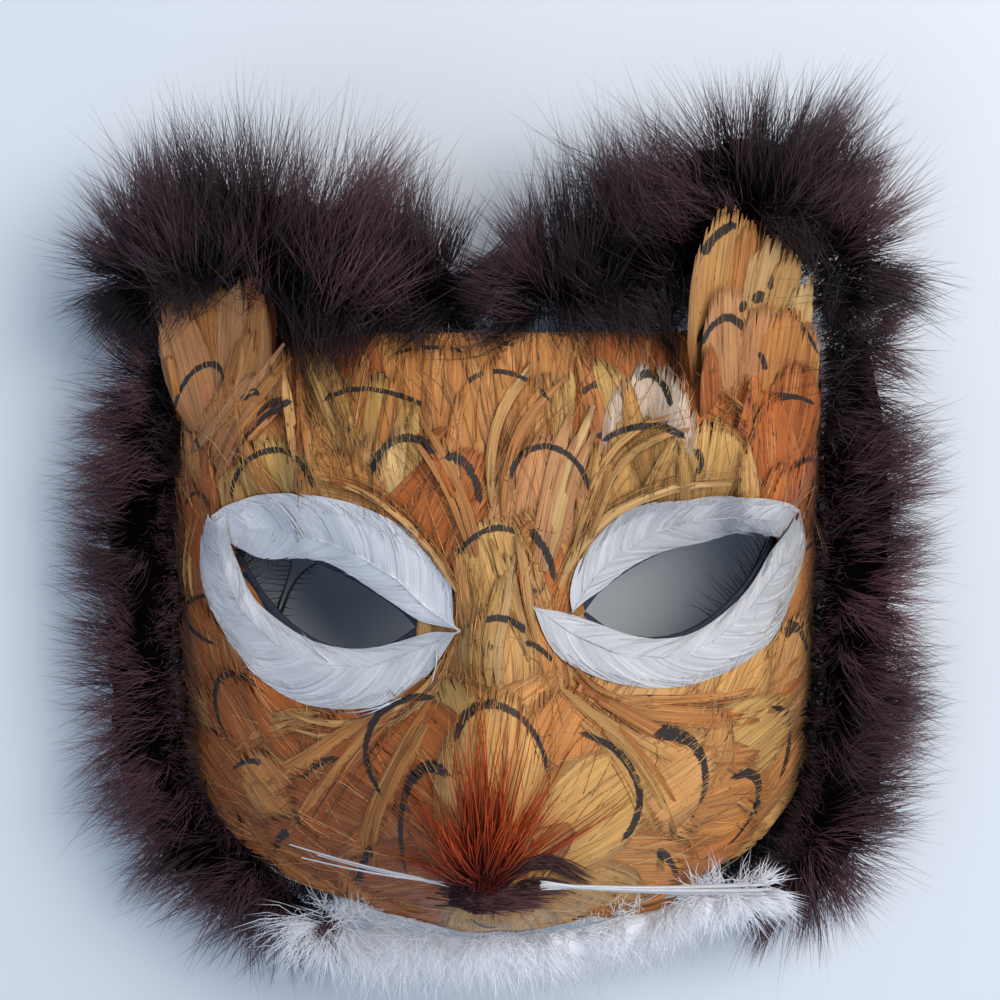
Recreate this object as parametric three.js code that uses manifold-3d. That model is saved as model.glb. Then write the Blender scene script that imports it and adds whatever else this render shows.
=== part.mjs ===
// A feathered big-cat mask: a moulded shell with two eye openings, covered in dyed body
// feathers that lie like shingles, with white feathers round the eyes, two feathered ears,
// a mane of marabou round the rim, a white marabou chin, a rust hackle on the nose and
// bundles of stripped quills for whiskers.
//
// Millimetres. The mask lies on its back: +Z is the way the face looks, +Y runs from the
// chin to the forehead and +X is the viewer's right. The face's own centre, between the
// eyes, is x = 0, y = 0; the last lines move the whole mask so that its box is centred.

import * as THREE from "three";
import { mergeVertices } from "three/addons/utils/BufferGeometryUtils.js";
import Module from "manifold-3d";

const wasm = await Module();
wasm.setup();

const { abs, cos, exp, floor, hypot, max, min, PI, sign, sin } = Math;
const at = (x, y, z) => new THREE.Vector3(x, y, z);
const radians = THREE.MathUtils.degToRad;

// Driving dimensions of the face
const FACE_HALF_WIDTH = 88;
const FACE_TOP = 65;
const FACE_MIDDLE_Y = -5;
const FACE_BOTTOM = -79;
const CROWN_HEIGHT = 61;
const NOSE_HEIGHT = 30;
const SHELL_WALL = 2;

// Feathers, quills and plumes
const FEATHER_EDGE = 0.5;
const FEATHER_CROWN = 1.1;
const TIP_LIFT = 0.7;
const COAT_DEPTH = 2.8;
const COAT_OVERHANG = 1;
const RIM_INNER_EDGE = 1.6;
const RIM_CROWN = 2.4;
const RIM_OUTER_EDGE = 1.1;
const EAR_CARD = 2.4;
const EAR_CUP = 5;
const EAR_FEATHER = 1.4;
const HACKLE_FIBRES = 9;
const HACKLE_THICKNESS = 1.8;
const QUILL_RADIUS = 0.75;
const TUFT_TIP = 1.14;
const TUFT_HOLLOW = 0.86;

// Room between pieces, and the reach of blocks that only cut
const GAP = 0.3;
const TALL = 160;

// How far a skin may be simplified: edges shorter than a sliver always go, and longer
// ones only where the skin strays less than this
const SLIVER = 0.35;
const SHORT_EDGE = 6;
const STRAY = 0.08;
const FUR_STRAY = 0.2;

// The face's form: its height above the table at a place in the plan. A crown falls away to
// the forehead and the chin and wraps down to the sides; on it are the nose, the cheeks,
// the brows and the hollows of the eyes, each a smooth bump of a height, a place and a spread.

const smooth = (from, to, value) => {
  const t = min(1, max(0, (value - from) / (to - from)));
  return t * t * (3 - 2 * t);
};

const bump = (x, y, height, cx, cy, rx, ry) =>
  height * exp(-(((abs(x) - cx) / rx) ** 2) - ((y - cy) / ry) ** 2);

function faceHeight(x, y) {
  const up = max(0, (y - 8) / 58);
  const down = max(0, (8 - y) / 90);
  const crown = CROWN_HEIGHT - 11 * up ** 2 - 19 * down ** 2;
  const wrap = 1 - (abs(x) / FACE_HALF_WIDTH) ** 2.5;
  const noseRise = smooth(34, -64, y) * (1 - 0.75 * smooth(-66, -92, y));
  const noseWidth = 9 + 15 * smooth(20, -60, y);
  const nose = NOSE_HEIGHT * noseRise * exp(-((x / noseWidth) ** 2));
  const cheeks = bump(x, y, 8, 32, -48, 22, 24);
  const brows = bump(x, y, 5, 38, 34, 26, 13);
  const sockets = bump(x, y, -7, 45, 4, 22, 15);
  return crown * wrap + nose + cheeks + brows + sockets;
}

function faceNormal(x, y) {
  const step = 0.5;
  const slopeX = (faceHeight(x + step, y) - faceHeight(x - step, y)) / (2 * step);
  const slopeY = (faceHeight(x, y + step) - faceHeight(x, y - step)) / (2 * step);
  return at(-slopeX, -slopeY, 1).normalize();
}

// How much higher a layer reaches straight up, for its thickness across a slope
const steepness = (x, y) => min(3, 1 / faceNormal(x, y).z);

// A point straight above the face, clear of it by a lift measured across the slope
const onFace = (x, y, lift) => at(x, y, faceHeight(x, y) + lift * steepness(x, y));

// Solids

function solidOf(geometry) {
  const bare = geometry.clone();
  bare.deleteAttribute("normal");
  bare.deleteAttribute("uv");
  const merged = mergeVertices(bare, 1e-3);
  return new wasm.Manifold(
    new wasm.Mesh({
      numProp: 3,
      vertProperties: merged.attributes.position.array,
      triVerts: new Uint32Array(merged.index.array),
    }),
  );
}

function geometryOf(solid) {
  const mesh = solid.getMesh();
  const indexed = new THREE.BufferGeometry();
  const points = new Float32Array(mesh.numVert * 3);
  for (let i = 0; i < mesh.numVert; i++)
    points.set(mesh.vertProperties.subarray(i * mesh.numProp, i * mesh.numProp + 3), i * 3);
  indexed.setAttribute("position", new THREE.BufferAttribute(points, 3));
  indexed.setIndex(new THREE.BufferAttribute(mesh.triVerts, 1));
  const flat = indexed.toNonIndexed();
  flat.computeVertexNormals();
  return flat;
}

const largestOf = (solid) =>
  solid.decompose().reduce((a, b) => (a.volume() > b.volume() ? a : b));

// Twice a face's area, along the way it looks
const facing = (points, [a, b, c]) =>
  at().crossVectors(at().subVectors(points[b], points[a]), at().subVectors(points[c], points[a]));

// Cuts leave slivers and needless corners: a short edge is drawn together into one corner,
// where that neither pinches the skin, nor turns a face over, nor moves the skin much
function withoutSlivers(solid, stray) {
  const mesh = solid.getMesh();
  const points = [...Array(mesh.numVert)].map((_, i) =>
    at().fromArray(mesh.vertProperties, i * mesh.numProp),
  );
  let faces = [...Array(mesh.numTri)].map((_, i) => [...mesh.triVerts.slice(i * 3, i * 3 + 3)]);
  const around = (v) => faces.filter((face) => face.includes(v));
  const collapse = (from, to) => {
    const [near, far] = [around(from), around(to)];
    const others = new Set(near.flat().filter((v) => v !== from && v !== to));
    const shared = new Set(far.flat().filter((v) => others.has(v)));
    if (shared.size !== 2) return false;
    const step = at().subVectors(points[from], points[to]);
    const moved = near.filter((face) => !face.includes(to));
    const after = moved.map((face) => face.map((v) => (v === from ? to : v)));
    const spoilt = moved.some((face, i) => {
      const [before, now] = [facing(points, face), facing(points, after[i])];
      if (now.length() < 0.002) return true;
      if (before.length() > 0.02 && before.angleTo(now) > 1.2) return true;
      return step.length() > SLIVER && abs(step.dot(now.normalize())) > stray;
    });
    if (spoilt) return false;
    faces = [...faces.filter((face) => !face.includes(from)), ...after];
    return true;
  };
  for (let again = true; again; ) {
    again = false;
    for (const face of [...faces])
      for (const i of [0, 1, 2]) {
        const [from, to] = [face[i], face[(i + 1) % 3]];
        if (!faces.includes(face) || points[from].distanceTo(points[to]) > SHORT_EDGE) continue;
        if (collapse(from, to) || collapse(to, from)) again = true;
      }
  }
  const skin = new THREE.BufferGeometry();
  const corners = faces.flat().flatMap((v) => points[v].toArray());
  skin.setAttribute("position", new THREE.Float32BufferAttribute(corners, 3));
  return solidOf(skin);
}

// A closed skin over rings of points, each ring with as many points as the next
function loft(rings) {
  const count = rings[0].length;
  const points = rings.flat().flatMap((p) => [p.x, p.y, p.z]);
  const faces = [];
  for (let r = 0; r + 1 < rings.length; r++)
    for (let i = 0; i < count; i++) {
      const a = r * count + i;
      const b = r * count + ((i + 1) % count);
      faces.push(a, b, a + count, b, b + count, a + count);
    }
  const last = (rings.length - 1) * count;
  for (let i = 1; i + 1 < count; i++) {
    faces.push(0, i + 1, i);
    faces.push(last, last + i, last + i + 1);
  }
  const skin = new THREE.BufferGeometry();
  skin.setAttribute("position", new THREE.Float32BufferAttribute(points, 3));
  skin.setIndex(faces);
  const solid = solidOf(skin);
  if (solid.volume() > 0) return solid;
  return loft([...rings].reverse());
}

function prism(outline, low = -10, high = TALL) {
  const shape = new THREE.Shape(outline.map(([x, y]) => new THREE.Vector2(x, y)));
  const block = new THREE.ExtrudeGeometry(shape, { depth: high - low, bevelEnabled: false });
  return solidOf(block.translate(0, 0, low));
}

// Everything below the table is cut away
const belowTable = solidOf(new THREE.BoxGeometry(600, 600, TALL).translate(0, 0, -TALL / 2));

// The shell

const COLUMNS = [0, 9, 18, 29, 42, 55, 66, 75, 82, 87, 92];
const ROWS = [-84, -75, -67, -58, -45, -31, -17, -4, 10, 25, 44, 70];

// A slab whose top and bottom follow the face at two heights above it
function faceSlab(topLift, bottomLift) {
  const xs = [...COLUMNS.slice(1).map((x) => -x).reverse(), ...COLUMNS];
  const points = [];
  for (const lift of [topLift, bottomLift])
    for (const y of ROWS) for (const x of xs) points.push(...onFace(x, y, lift));
  const layer = xs.length * ROWS.length;
  const faces = [];
  const quad = (a, b, c, d) => faces.push(a, b, c, a, c, d);
  for (let j = 0; j + 1 < ROWS.length; j++)
    for (let i = 0; i + 1 < xs.length; i++) {
      const a = j * xs.length + i;
      const [b, c, d] = [a + 1, a + 1 + xs.length, a + xs.length];
      quad(a, b, c, d);
      quad(a + layer, d + layer, c + layer, b + layer);
    }
  const border = [];
  for (let i = 0; i + 1 < xs.length; i++) border.push(i);
  for (let j = 0; j + 1 < ROWS.length; j++) border.push(j * xs.length + xs.length - 1);
  for (let i = xs.length - 1; i > 0; i--) border.push((ROWS.length - 1) * xs.length + i);
  for (let j = ROWS.length - 1; j > 0; j--) border.push(j * xs.length);
  border.forEach((a, k) => {
    const b = border[(k + 1) % border.length];
    quad(b, a, a + layer, b + layer);
  });
  const skin = new THREE.BufferGeometry();
  skin.setAttribute("position", new THREE.Float32BufferAttribute(points, 3));
  skin.setIndex(faces);
  return solidOf(skin);
}

// The face's outline is a rounded box above and a fuller curve round the chin
function faceOutline(grow = 0, count = 44) {
  const outline = [];
  for (let k = 0; k < count; k++) {
    const angle = (2 * PI * k) / count;
    const [c, s] = [cos(angle), sin(angle)];
    const power = s > 0 ? 2 / 8 : 2 / 3.6;
    const reach = s > 0 ? FACE_TOP - FACE_MIDDLE_Y : FACE_MIDDLE_Y - FACE_BOTTOM;
    const x = sign(c) * abs(c) ** power * (FACE_HALF_WIDTH + 2 + grow);
    const y = FACE_MIDDLE_Y + sign(s) * abs(s) ** power * (reach + grow);
    outline.push([x, y]);
  }
  return outline;
}

// A leaf between two corners, bulging by one height above the line and another below
function leaf({ inner, outer, rise, drop, fullness = 0.75 }, count = 9) {
  const along = [outer[0] - inner[0], outer[1] - inner[1]];
  const length = hypot(...along);
  const up = [-along[1] / length, along[0] / length];
  if (up[1] < 0) up.forEach((v, i) => (up[i] = -v));
  const edge = (bulge) => (t) => {
    const height = bulge * max(0, sin(PI * t ** 0.9)) ** fullness;
    return [0, 1].map((i) => inner[i] + along[i] * t + up[i] * height);
  };
  const [top, bottom] = [edge(rise), edge(-drop)];
  const steps = [...Array(count)].map((_, k) => k / count);
  return { top, bottom, points: [...steps.map(top), ...steps.map((t) => bottom(1 - t))] };
}

const EYES = {
  left: {
    opening: { inner: [-19.6, -4.7], outer: [-68, 11.5], rise: 4.5, drop: 14 },
    border: { inner: [-11, -5.5], outer: [-77, 16], rise: 20, drop: 29.5 },
  },
  right: {
    opening: { inner: [21.5, -1], outer: [73, 14], rise: 7, drop: 15 },
    border: { inner: [7.5, 1], outer: [81, 20], rise: 17, drop: 28.5 },
  },
};

const shell = faceSlab(0, -SHELL_WALL)
  .intersect(prism(faceOutline()))
  .subtract(prism(leaf(EYES.left.opening, 12).points))
  .subtract(prism(leaf(EYES.right.opening, 12).points))
  .subtract(belowTable);

const shellWithGap = faceSlab(GAP, -3 * SHELL_WALL);

// The shell with its coat of feathers and the hollow behind it, for trimming what is round it
const coatedForm = faceSlab(COAT_DEPTH + GAP, -TALL).intersect(
  prism(faceOutline(COAT_OVERHANG + GAP)),
);

// Feathers

// Half-widths of a body feather at places along its shaft, as shares of its length and width
const VANE = [
  [0, 0.8],
  [0.35, 0.96],
  [0.62, 1],
  [0.82, 0.88],
  [0.95, 0.55],
  [1, 0.22],
];

function vane(tip, heading, width, length) {
  const turn = radians(heading);
  const along = [cos(turn), sin(turn)];
  const across = [sin(turn), -cos(turn)];
  const place = (t, side, grow = 0) => {
    const back = (1 - t) * length;
    const half = side * (1 + grow / (width / 2));
    return [0, 1].map((i) => tip[i] - along[i] * (back - grow * t) + (across[i] * half * width) / 2);
  };
  const rings = VANE.map(([t, share]) => {
    const under = 2 * GAP + TIP_LIFT * t ** 2;
    return [
      onFace(...place(t, -share), under + FEATHER_EDGE),
      onFace(...place(t, 0), under + FEATHER_CROWN),
      onFace(...place(t, share), under + FEATHER_EDGE),
      onFace(...place(t, share), under),
      onFace(...place(t, -share), under),
    ];
  });
  const side = (sign) => VANE.map(([t, share]) => place(t, sign * share, GAP));
  const shadow = prism([...side(1), ...side(-1).reverse()]);
  return { solid: loft(rings), shadow };
}

// A feather, or several fused in one piece: tip in the plan, heading in degrees, width, length
function feather(name, ...plans) {
  const vanes = plans.map((plan) => vane(...plan));
  const join = (key) => vanes.map((v) => v[key]).reduce((a, b) => a.add(b));
  return { name, tip: plans.at(-1)[0], solid: join("solid"), shadow: join("shadow") };
}

const FEATHERS = [
  feather("nose_feather", [[2, -15], 80, 26, 51]),
  feather("bridge_feather_lower", [[-1, 4], 92, 20, 34]),
  feather("bridge_feather_upper", [[-3, 24], 102, 20, 34]),
  feather("bridge_feather_side", [[14, 19], 66, 13, 29]),
  feather("muzzle_feather_left", [[-23, -38], 150, 26, 37]),
  feather(
    "under_eye_feathers_left",
    [[-15, -14], 118, 20, 34],
    [[-37, -20], 128, 28, 32],
    [[-59, -12], 128, 30, 38],
  ),
  feather(
    "under_eye_feathers_right",
    [[24, -18], 50, 22, 38],
    [[47, -18], 58, 30, 34],
    [[67, -8], 60, 26, 40],
  ),
  feather("lip_feather_left", [[-37, -73], 205, 21, 39]),
  feather("lip_feather_right", [[50, -73], 337, 25, 45]),
  feather("cheek_feather_left_1", [[-32, -25], 150, 28, 39]),
  feather("cheek_feather_left_2", [[-54, -47], 168, 28, 41]),
  feather("cheek_feather_left_3", [[-66, -41], 130, 17, 34]),
  feather("cheek_feather_left_4", [[-62, -62], 165, 18, 37]),
  feather("cheek_feather_right_1", [[38, -40], 24, 30, 44]),
  feather("cheek_feather_right_2", [[56, -37], 24, 30, 46]),
  feather("cheek_feather_right_3", [[79, -34], 24, 28, 46]),
  feather("cheek_feather_right_4", [[73, -55], 358, 24, 41]),
  feather("side_feather_left_1", [[-82, -4], 104, 17, 37]),
  feather("side_feather_left_2", [[-75, -22], 130, 21, 39]),
  feather("side_feather_left_3", [[-80, -40], 138, 16, 34]),
  feather("side_feather_right_1", [[83, 12], 80, 13, 32]),
  feather("side_feather_right_2", [[81, -9], 66, 17, 34]),
  feather("temple_feather_left_1", [[-77, 61], 105, 18, 39]),
  feather("temple_feather_left_2", [[-61, 49], 128, 15, 41]),
  feather("temple_feather_left_3", [[-79, 43], 90, 15, 34]),
  feather("temple_feather_left_4", [[-79, 28], 90, 15, 37]),
  feather("temple_feather_right_1", [[72, 53], 92, 21, 37]),
  feather("temple_feather_right_2", [[79, 36], 84, 17, 34]),
  feather("brow_feather_1", [[-57, 42], 102, 25, 39]),
  feather("brow_feather_2", [[-39, 40], 96, 23, 37]),
  feather("brow_feather_3", [[-21, 46], 96, 21, 39]),
  feather("brow_feather_4", [[-5, 40], 62, 18, 37]),
  feather("brow_feather_5", [[13, 44], 81, 23, 44]),
  feather("brow_feather_6", [[34, 48], 95, 24, 39]),
  feather("brow_feather_7", [[53, 47], 80, 22, 34]),
  feather("crown_feather_1", [[-49, 65], 97, 21, 37]),
  feather("crown_feather_2", [[-31, 58], 87, 29, 44]),
  feather("crown_feather_3", [[-16, 66], 93, 22, 37]),
  feather("crown_feather_4", [[2, 62], 86, 25, 44]),
  feather("crown_feather_5", [[22, 62], 98, 21, 37]),
  feather("crown_feather_6", [[40, 60], 75, 22, 37]),
  feather("crown_feather_7", [[57, 62], 70, 21, 37]),
  feather(
    "crown_fringe",
    [[-41, 72], 92, 22, 36],
    [[-23, 73], 90, 22, 36],
    [[-8, 72], 90, 20, 34],
    [[11, 72], 90, 22, 36],
    [[31, 72], 88, 22, 36],
    [[49, 70], 84, 22, 34],
  ),
  feather(
    "lip_fringe",
    [[-28, -92], 235, 30, 40],
    [[2, -94], 271, 30, 34],
    [[34, -90], 310, 32, 42],
  ),
];

// White feathers laid round each eye, an upper and a lower one

function rimFeather(eye, side, from, to) {
  const inside = leaf(eye.opening)[side];
  const outside = leaf(eye.border)[side];
  const rings = [];
  const shadowInside = [];
  const shadowOutside = [];
  const count = 9;
  for (let k = 0; k <= count; k++) {
    const t = from + ((to - from) * k) / count;
    const [a, b] = [inside(t), outside(t)];
    const middle = [0.4 * a[0] + 0.6 * b[0], 0.4 * a[1] + 0.6 * b[1]];
    const narrow = 0.35 + 0.65 * sin(PI * min(1, max(0, (k + 0.6) / (count + 1.2)))) ** 0.5;
    const pull = (p) => [0, 1].map((i) => middle[i] + (p[i] - middle[i]) * narrow);
    const [inner, outer] = [pull(a), pull(b)];
    rings.push([
      onFace(...inner, 2 * GAP + RIM_INNER_EDGE),
      onFace(...middle, 2 * GAP + RIM_CROWN),
      onFace(...outer, 2 * GAP + RIM_OUTER_EDGE),
      onFace(...outer, 2 * GAP),
      onFace(...middle, 2 * GAP),
      onFace(...inner, 2 * GAP),
    ]);
    shadowInside.push(inner);
    shadowOutside.push([0, 1].map((i) => outer[i] + (outer[i] - inner[i]) * 0.03));
  }
  const shadow = prism([...shadowOutside, ...shadowInside.reverse()]);
  return { solid: loft(rings), shadow };
}

const RIM_FEATHERS = {
  left_eye_upper_feather: rimFeather(EYES.left, "top", 0.03, 0.92),
  left_eye_lower_feather: rimFeather(EYES.left, "bottom", 0, 1),
  right_eye_upper_feather: rimFeather(EYES.right, "top", 0.04, 0.93),
  right_eye_lower_feather: rimFeather(EYES.right, "bottom", 0, 1),
};

// Ears: a cupped leaf of card with two feathers laid up its front

const EAR_LEAF = [
  [0, 0.9],
  [0.25, 0.98],
  [0.5, 1],
  [0.7, 0.84],
  [0.88, 0.48],
  [1, 0.14],
];

function earBlade({ foot, tip, side }, width, cup, thickness, lift = 0, rise = 0) {
  const front = at().crossVectors(side, at().subVectors(tip, foot)).normalize();
  return loft(
    EAR_LEAF.map(([t, share]) => {
      const middle = at().lerpVectors(foot, tip, t).addScaledVector(front, lift);
      const place = (s, depth) =>
        middle
          .clone()
          .addScaledVector(side, (s * share * width) / 2)
          .addScaledVector(front, cup * (s * share) ** 2 + depth);
      return [
        ...[-1, -0.4, 0.4, 1].map((s) => place(s, rise)),
        ...[1, 0.4, -0.4, -1].map((s) => place(s, -thickness)),
      ];
    }),
  );
}

function ear(plan) {
  const { foot, tip, side, width } = plan;
  const up = at().subVectors(tip, foot);
  const moved = (across, along) => {
    const [low, high] = [foot, tip].map((p, i) =>
      p.clone().addScaledVector(side, across * width).addScaledVector(up, along[i]),
    );
    return { foot: low, tip: high, side };
  };
  const leftFeather = moved(-0.15, [0.02, -0.03]);
  const rightFeather = moved(0.2, [0.02, -0.3]);
  return earBlade(plan, width, EAR_CUP, EAR_CARD)
    .add(earBlade(leftFeather, 0.6 * width, 2, EAR_FEATHER, 0.9 * EAR_FEATHER))
    .add(earBlade(rightFeather, 0.5 * width, 2, EAR_FEATHER, 1.2 * EAR_FEATHER));
}

const EARS = {
  left_ear: {
    foot: at(-67, 49, 37),
    tip: at(-67, 87, 41),
    side: at(0.87, 0, 0.49),
    width: 37,
  },
  right_ear: {
    foot: at(64, 49, 38),
    tip: at(63, 97, 46),
    side: at(0.87, 0, -0.49),
    width: 39,
  },
};

// Marabou: soft plumes bound into a strip, drawn as a shaggy tube of the plumes' reach

// A scattered value from -1 to 1 for each corner of a tube
const scatter = (i, k) => {
  const wave = sin(i * 12.9898 + k * 78.233) * 43758.5453;
  return 2 * (wave - floor(wave)) - 1;
};

// Every third corner stands out as a tuft's tip
const tuft = (i, k) => ((i + 2 * k) % 3 ? TUFT_HOLLOW : TUFT_TIP) + 0.06 * scatter(i, k);

function plumeTube(path, { sides = 9, steps = 18, flat = 17, grow = 0 } = {}) {
  const line = new THREE.CatmullRomCurve3(path.map(([x, y, z]) => at(x, y, z)));
  const reaches = new THREE.CatmullRomCurve3(path.map((point) => at(point[3], 0, 0)));
  const rings = [];
  for (let k = 0; k <= steps; k++) {
    const t = k / steps;
    const along = line.getTangent(t);
    const outward = at(along.y, -along.x, 0).normalize();
    const upward = at().crossVectors(outward, along).normalize();
    const centre = line.getPoint(t).addScaledVector(along, grow * (2 * t - 1));
    const reach = reaches.getPoint(t).x * (k % steps ? 1 : 0.8);
    rings.push(
      [...Array(sides)].map((_, i) => {
        const angle = (2 * PI * i) / sides;
        const shag = tuft(i, k);
        return centre
          .clone()
          .addScaledVector(outward, cos(angle) * (reach * shag + grow))
          .addScaledVector(upward, sin(angle) * (min(reach, flat) * shag + grow));
      }),
    );
  }
  return loft(rings);
}

// Each strip's line, x, y and z, and how far its plumes reach out at that place
const MANE = {
  mane_left: [
    [-46, -92, 29, 15],
    [-61, -91, 23, 19],
    [-82, -79, 18, 21],
    [-95, -58, 17, 21],
    [-99, -33, 17, 20],
    [-99, -6, 17, 19],
    [-98, 21, 17, 19],
    [-95, 45, 18, 19],
    [-93, 60, 21, 17],
  ],
  mane_top_left: [
    [-97, 73, 26, 15],
    [-93, 87, 30, 20],
    [-78, 95, 35, 25],
    [-59, 92, 40, 27],
    [-39, 88, 44, 26],
    [-20, 84, 45, 22],
    [-3, 79, 46, 18],
  ],
  mane_top_right: [
    [0, 80, 46, 18],
    [17, 87, 46, 23],
    [36, 95, 45, 28],
    [54, 107, 44, 24],
    [74, 108, 42, 23],
    [89, 97, 36, 21],
    [97, 83, 30, 18],
  ],
  mane_right: [
    [97, 70, 21, 16],
    [98, 48, 18, 18],
    [100, 21, 17, 20],
    [100, -6, 17, 20],
    [100, -33, 17, 20],
    [98, -58, 17, 21],
    [89, -79, 19, 20],
    [73, -88, 25, 15],
  ],
};

const CHIN_TUFT = [
  [-53, -91, 30, 13],
  [-33, -91, 39, 14],
  [-12, -90, 46, 14],
  [10, -89, 47, 12],
  [34, -88, 43, 10],
  [56, -86, 35, 9],
  [72, -85, 29, 7],
];

// Nose: a small dark pad, a fan of hackle fibres over it, and quills to each side

const NOSE_FOOT = onFace(-3, -62.5, 3);

function fibre(from, to, bow, thick, thin, sides, steps) {
  const rings = [];
  const along = at().subVectors(to, from).normalize();
  const across = at().crossVectors(along, at(0, 0, 1)).normalize();
  const upward = at().crossVectors(across, along);
  for (let k = 0; k <= steps; k++) {
    const t = k / steps;
    const centre = at().lerpVectors(from, to, t).addScaledVector(upward, bow * sin(PI * t));
    const size = thick + (thin - thick) * t;
    rings.push(
      [...Array(sides)].map((_, i) =>
        centre
          .clone()
          .addScaledVector(across, size * cos((2 * PI * i) / sides))
          .addScaledVector(upward, size * sin((2 * PI * i) / sides)),
      ),
    );
  }
  return loft(rings);
}

function ball(centre, rx, ry, rz, around = 8, rows = 5) {
  const sphere = new THREE.SphereGeometry(1, around, rows).rotateX(PI / 2).scale(rx, ry, rz);
  return solidOf(sphere.translate(centre.x, centre.y, centre.z));
}

function hackleFan() {
  const foot = NOSE_FOOT.clone().add(at(0, 1.5, 3.4));
  let fan = ball(foot, 4.2, 3.4, 2.4);
  for (let k = 0; k < HACKLE_FIBRES; k++) {
    const heading = radians(14 + (152 * k) / (HACKLE_FIBRES - 1));
    const length = 22 + 13 * sin(heading) + 4 * ((k * 7) % 3);
    const [x, y] = [foot.x + length * cos(heading), foot.y + length * sin(heading)];
    const bow = 3;
    fan = fan.add(fibre(foot, onFace(x, y, 2 * bow), bow, HACKLE_THICKNESS, 0.15, 4, 2));
  }
  return fan;
}

function whiskers(side, tips) {
  const root = onFace(NOSE_FOOT.x + side * 12, -63.5, 4);
  let bundle = ball(root, 2.2, 1.3, 1.3, 6, 4);
  for (const tip of tips)
    bundle = bundle.add(fibre(root, at(...tip), 2, QUILL_RADIUS, 0.7 * QUILL_RADIUS, 4, 3));
  return bundle;
}

// Assembly

const finish = (colour, roughness) =>
  new THREE.MeshStandardMaterial({ color: colour, roughness, metalness: 0 });

const PULP = finish(0x2c2724, 0.9);
const ORANGE = finish(0xc08a4c, 0.7);
const WHITE = finish(0xe2e3e4, 0.6);
const MANE_BROWN = finish(0x33242a, 0.85);
const DOWN = finish(0xe9ebee, 0.9);
const RUST = finish(0x8a3414, 0.6);
const PLUM = finish(0x4d3034, 0.5);
const QUILL = finish(0xdcd8d2, 0.35);

const mask = new THREE.Group();

function add(name, solid, material, stray = STRAY) {
  const mesh = new THREE.Mesh(geometryOf(withoutSlivers(solid, stray)), material);
  mesh.name = name;
  mask.add(mesh);
}

add("mask_shell", shell, PULP);

// What is laid last hides what is under it, so each piece is trimmed by those above it
let covered = prism(leaf(EYES.left.opening).points).add(prism(leaf(EYES.right.opening).points));

for (const [name, { solid, shadow }] of Object.entries(RIM_FEATHERS)) {
  add(name, largestOf(solid.subtract(shellWithGap).subtract(covered)), WHITE);
  covered = covered.add(shadow);
}

for (const [name, plan] of Object.entries(EARS))
  add(name, largestOf(ear(plan).subtract(coatedForm)), ORANGE);

const fromNose = ({ tip }) => hypot(tip[0], tip[1] + 60);
FEATHERS.sort((a, b) => fromNose(a) - fromNose(b));
const insideFace = prism(faceOutline(COAT_OVERHANG));
for (const { name, solid, shadow } of FEATHERS) {
  const trimmed = solid
    .subtract(covered)
    .subtract(shellWithGap)
    .intersect(insideFace)
    .subtract(belowTable);
  add(name, largestOf(trimmed), ORANGE);
  covered = covered.add(shadow);
}

const padCentre = onFace(-3, -64.5, 4.4);
const padWithGap = ball(padCentre, 9.5, 3.9, 2.5);
add("nose_pad", ball(padCentre, 9, 3.4, 2).subtract(coatedForm), PLUM);
const fan = largestOf(hackleFan().subtract(padWithGap).subtract(coatedForm));
add("nose_hackle", fan, RUST);

const whiskerSolids = {
  left_whiskers: whiskers(-1, [
    [-53, -61, 66],
    [-51, -65, 66],
    [-54, -68, 63],
  ]),
  right_whiskers: whiskers(1, [
    [66, -72, 62],
    [67, -75, 60],
    [63, -78, 58],
  ]),
};
const noseBits = fan.add(padWithGap).add(coatedForm);
for (const [name, solid] of Object.entries(whiskerSolids))
  add(name, largestOf(solid.subtract(noseBits)), QUILL);

// The plumes pass behind the ears and never in front of them
const earFronts = Object.values(EARS).map(({ foot, tip, side, width }) => {
  const beyond = at().lerpVectors(foot, tip, 1.05);
  return earBlade({ foot, tip: beyond, side }, width + 4, EAR_CUP, EAR_CARD + 2 * GAP, 0, TALL / 2);
});
let furBefore = coatedForm.add(earFronts[0]).add(earFronts[1]).add(belowTable);
for (const [name, path] of Object.entries(MANE)) {
  add(name, largestOf(plumeTube(path).subtract(furBefore)), MANE_BROWN, FUR_STRAY);
  furBefore = furBefore.add(plumeTube(path, { grow: 3 * GAP }));
}
const chin = plumeTube(CHIN_TUFT, { sides: 8, steps: 12, flat: 10 });
add("chin_tuft", largestOf(chin.subtract(furBefore)), DOWN, FUR_STRAY);

const extent = new THREE.Box3().setFromObject(mask);
mask.position.set(-(extent.min.x + extent.max.x) / 2, -(extent.min.y + extent.max.y) / 2, 0);

export default mask;
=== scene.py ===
# %% [markdown]
# # A feathered lion mask
#
# The mask is a moulded half face of pressed pulp. It is covered with dyed body feathers that
# lie like shingles, has white feathers round its eyes, two feathered ears, a dark marabou
# mane, a white marabou chin, a rust hackle on the nose and stripped quills for whiskers.
# It lies on its back on a pale floor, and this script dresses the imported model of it.

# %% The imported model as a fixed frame
from math import atan2, cos, degrees, pi, radians, sin

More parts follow.
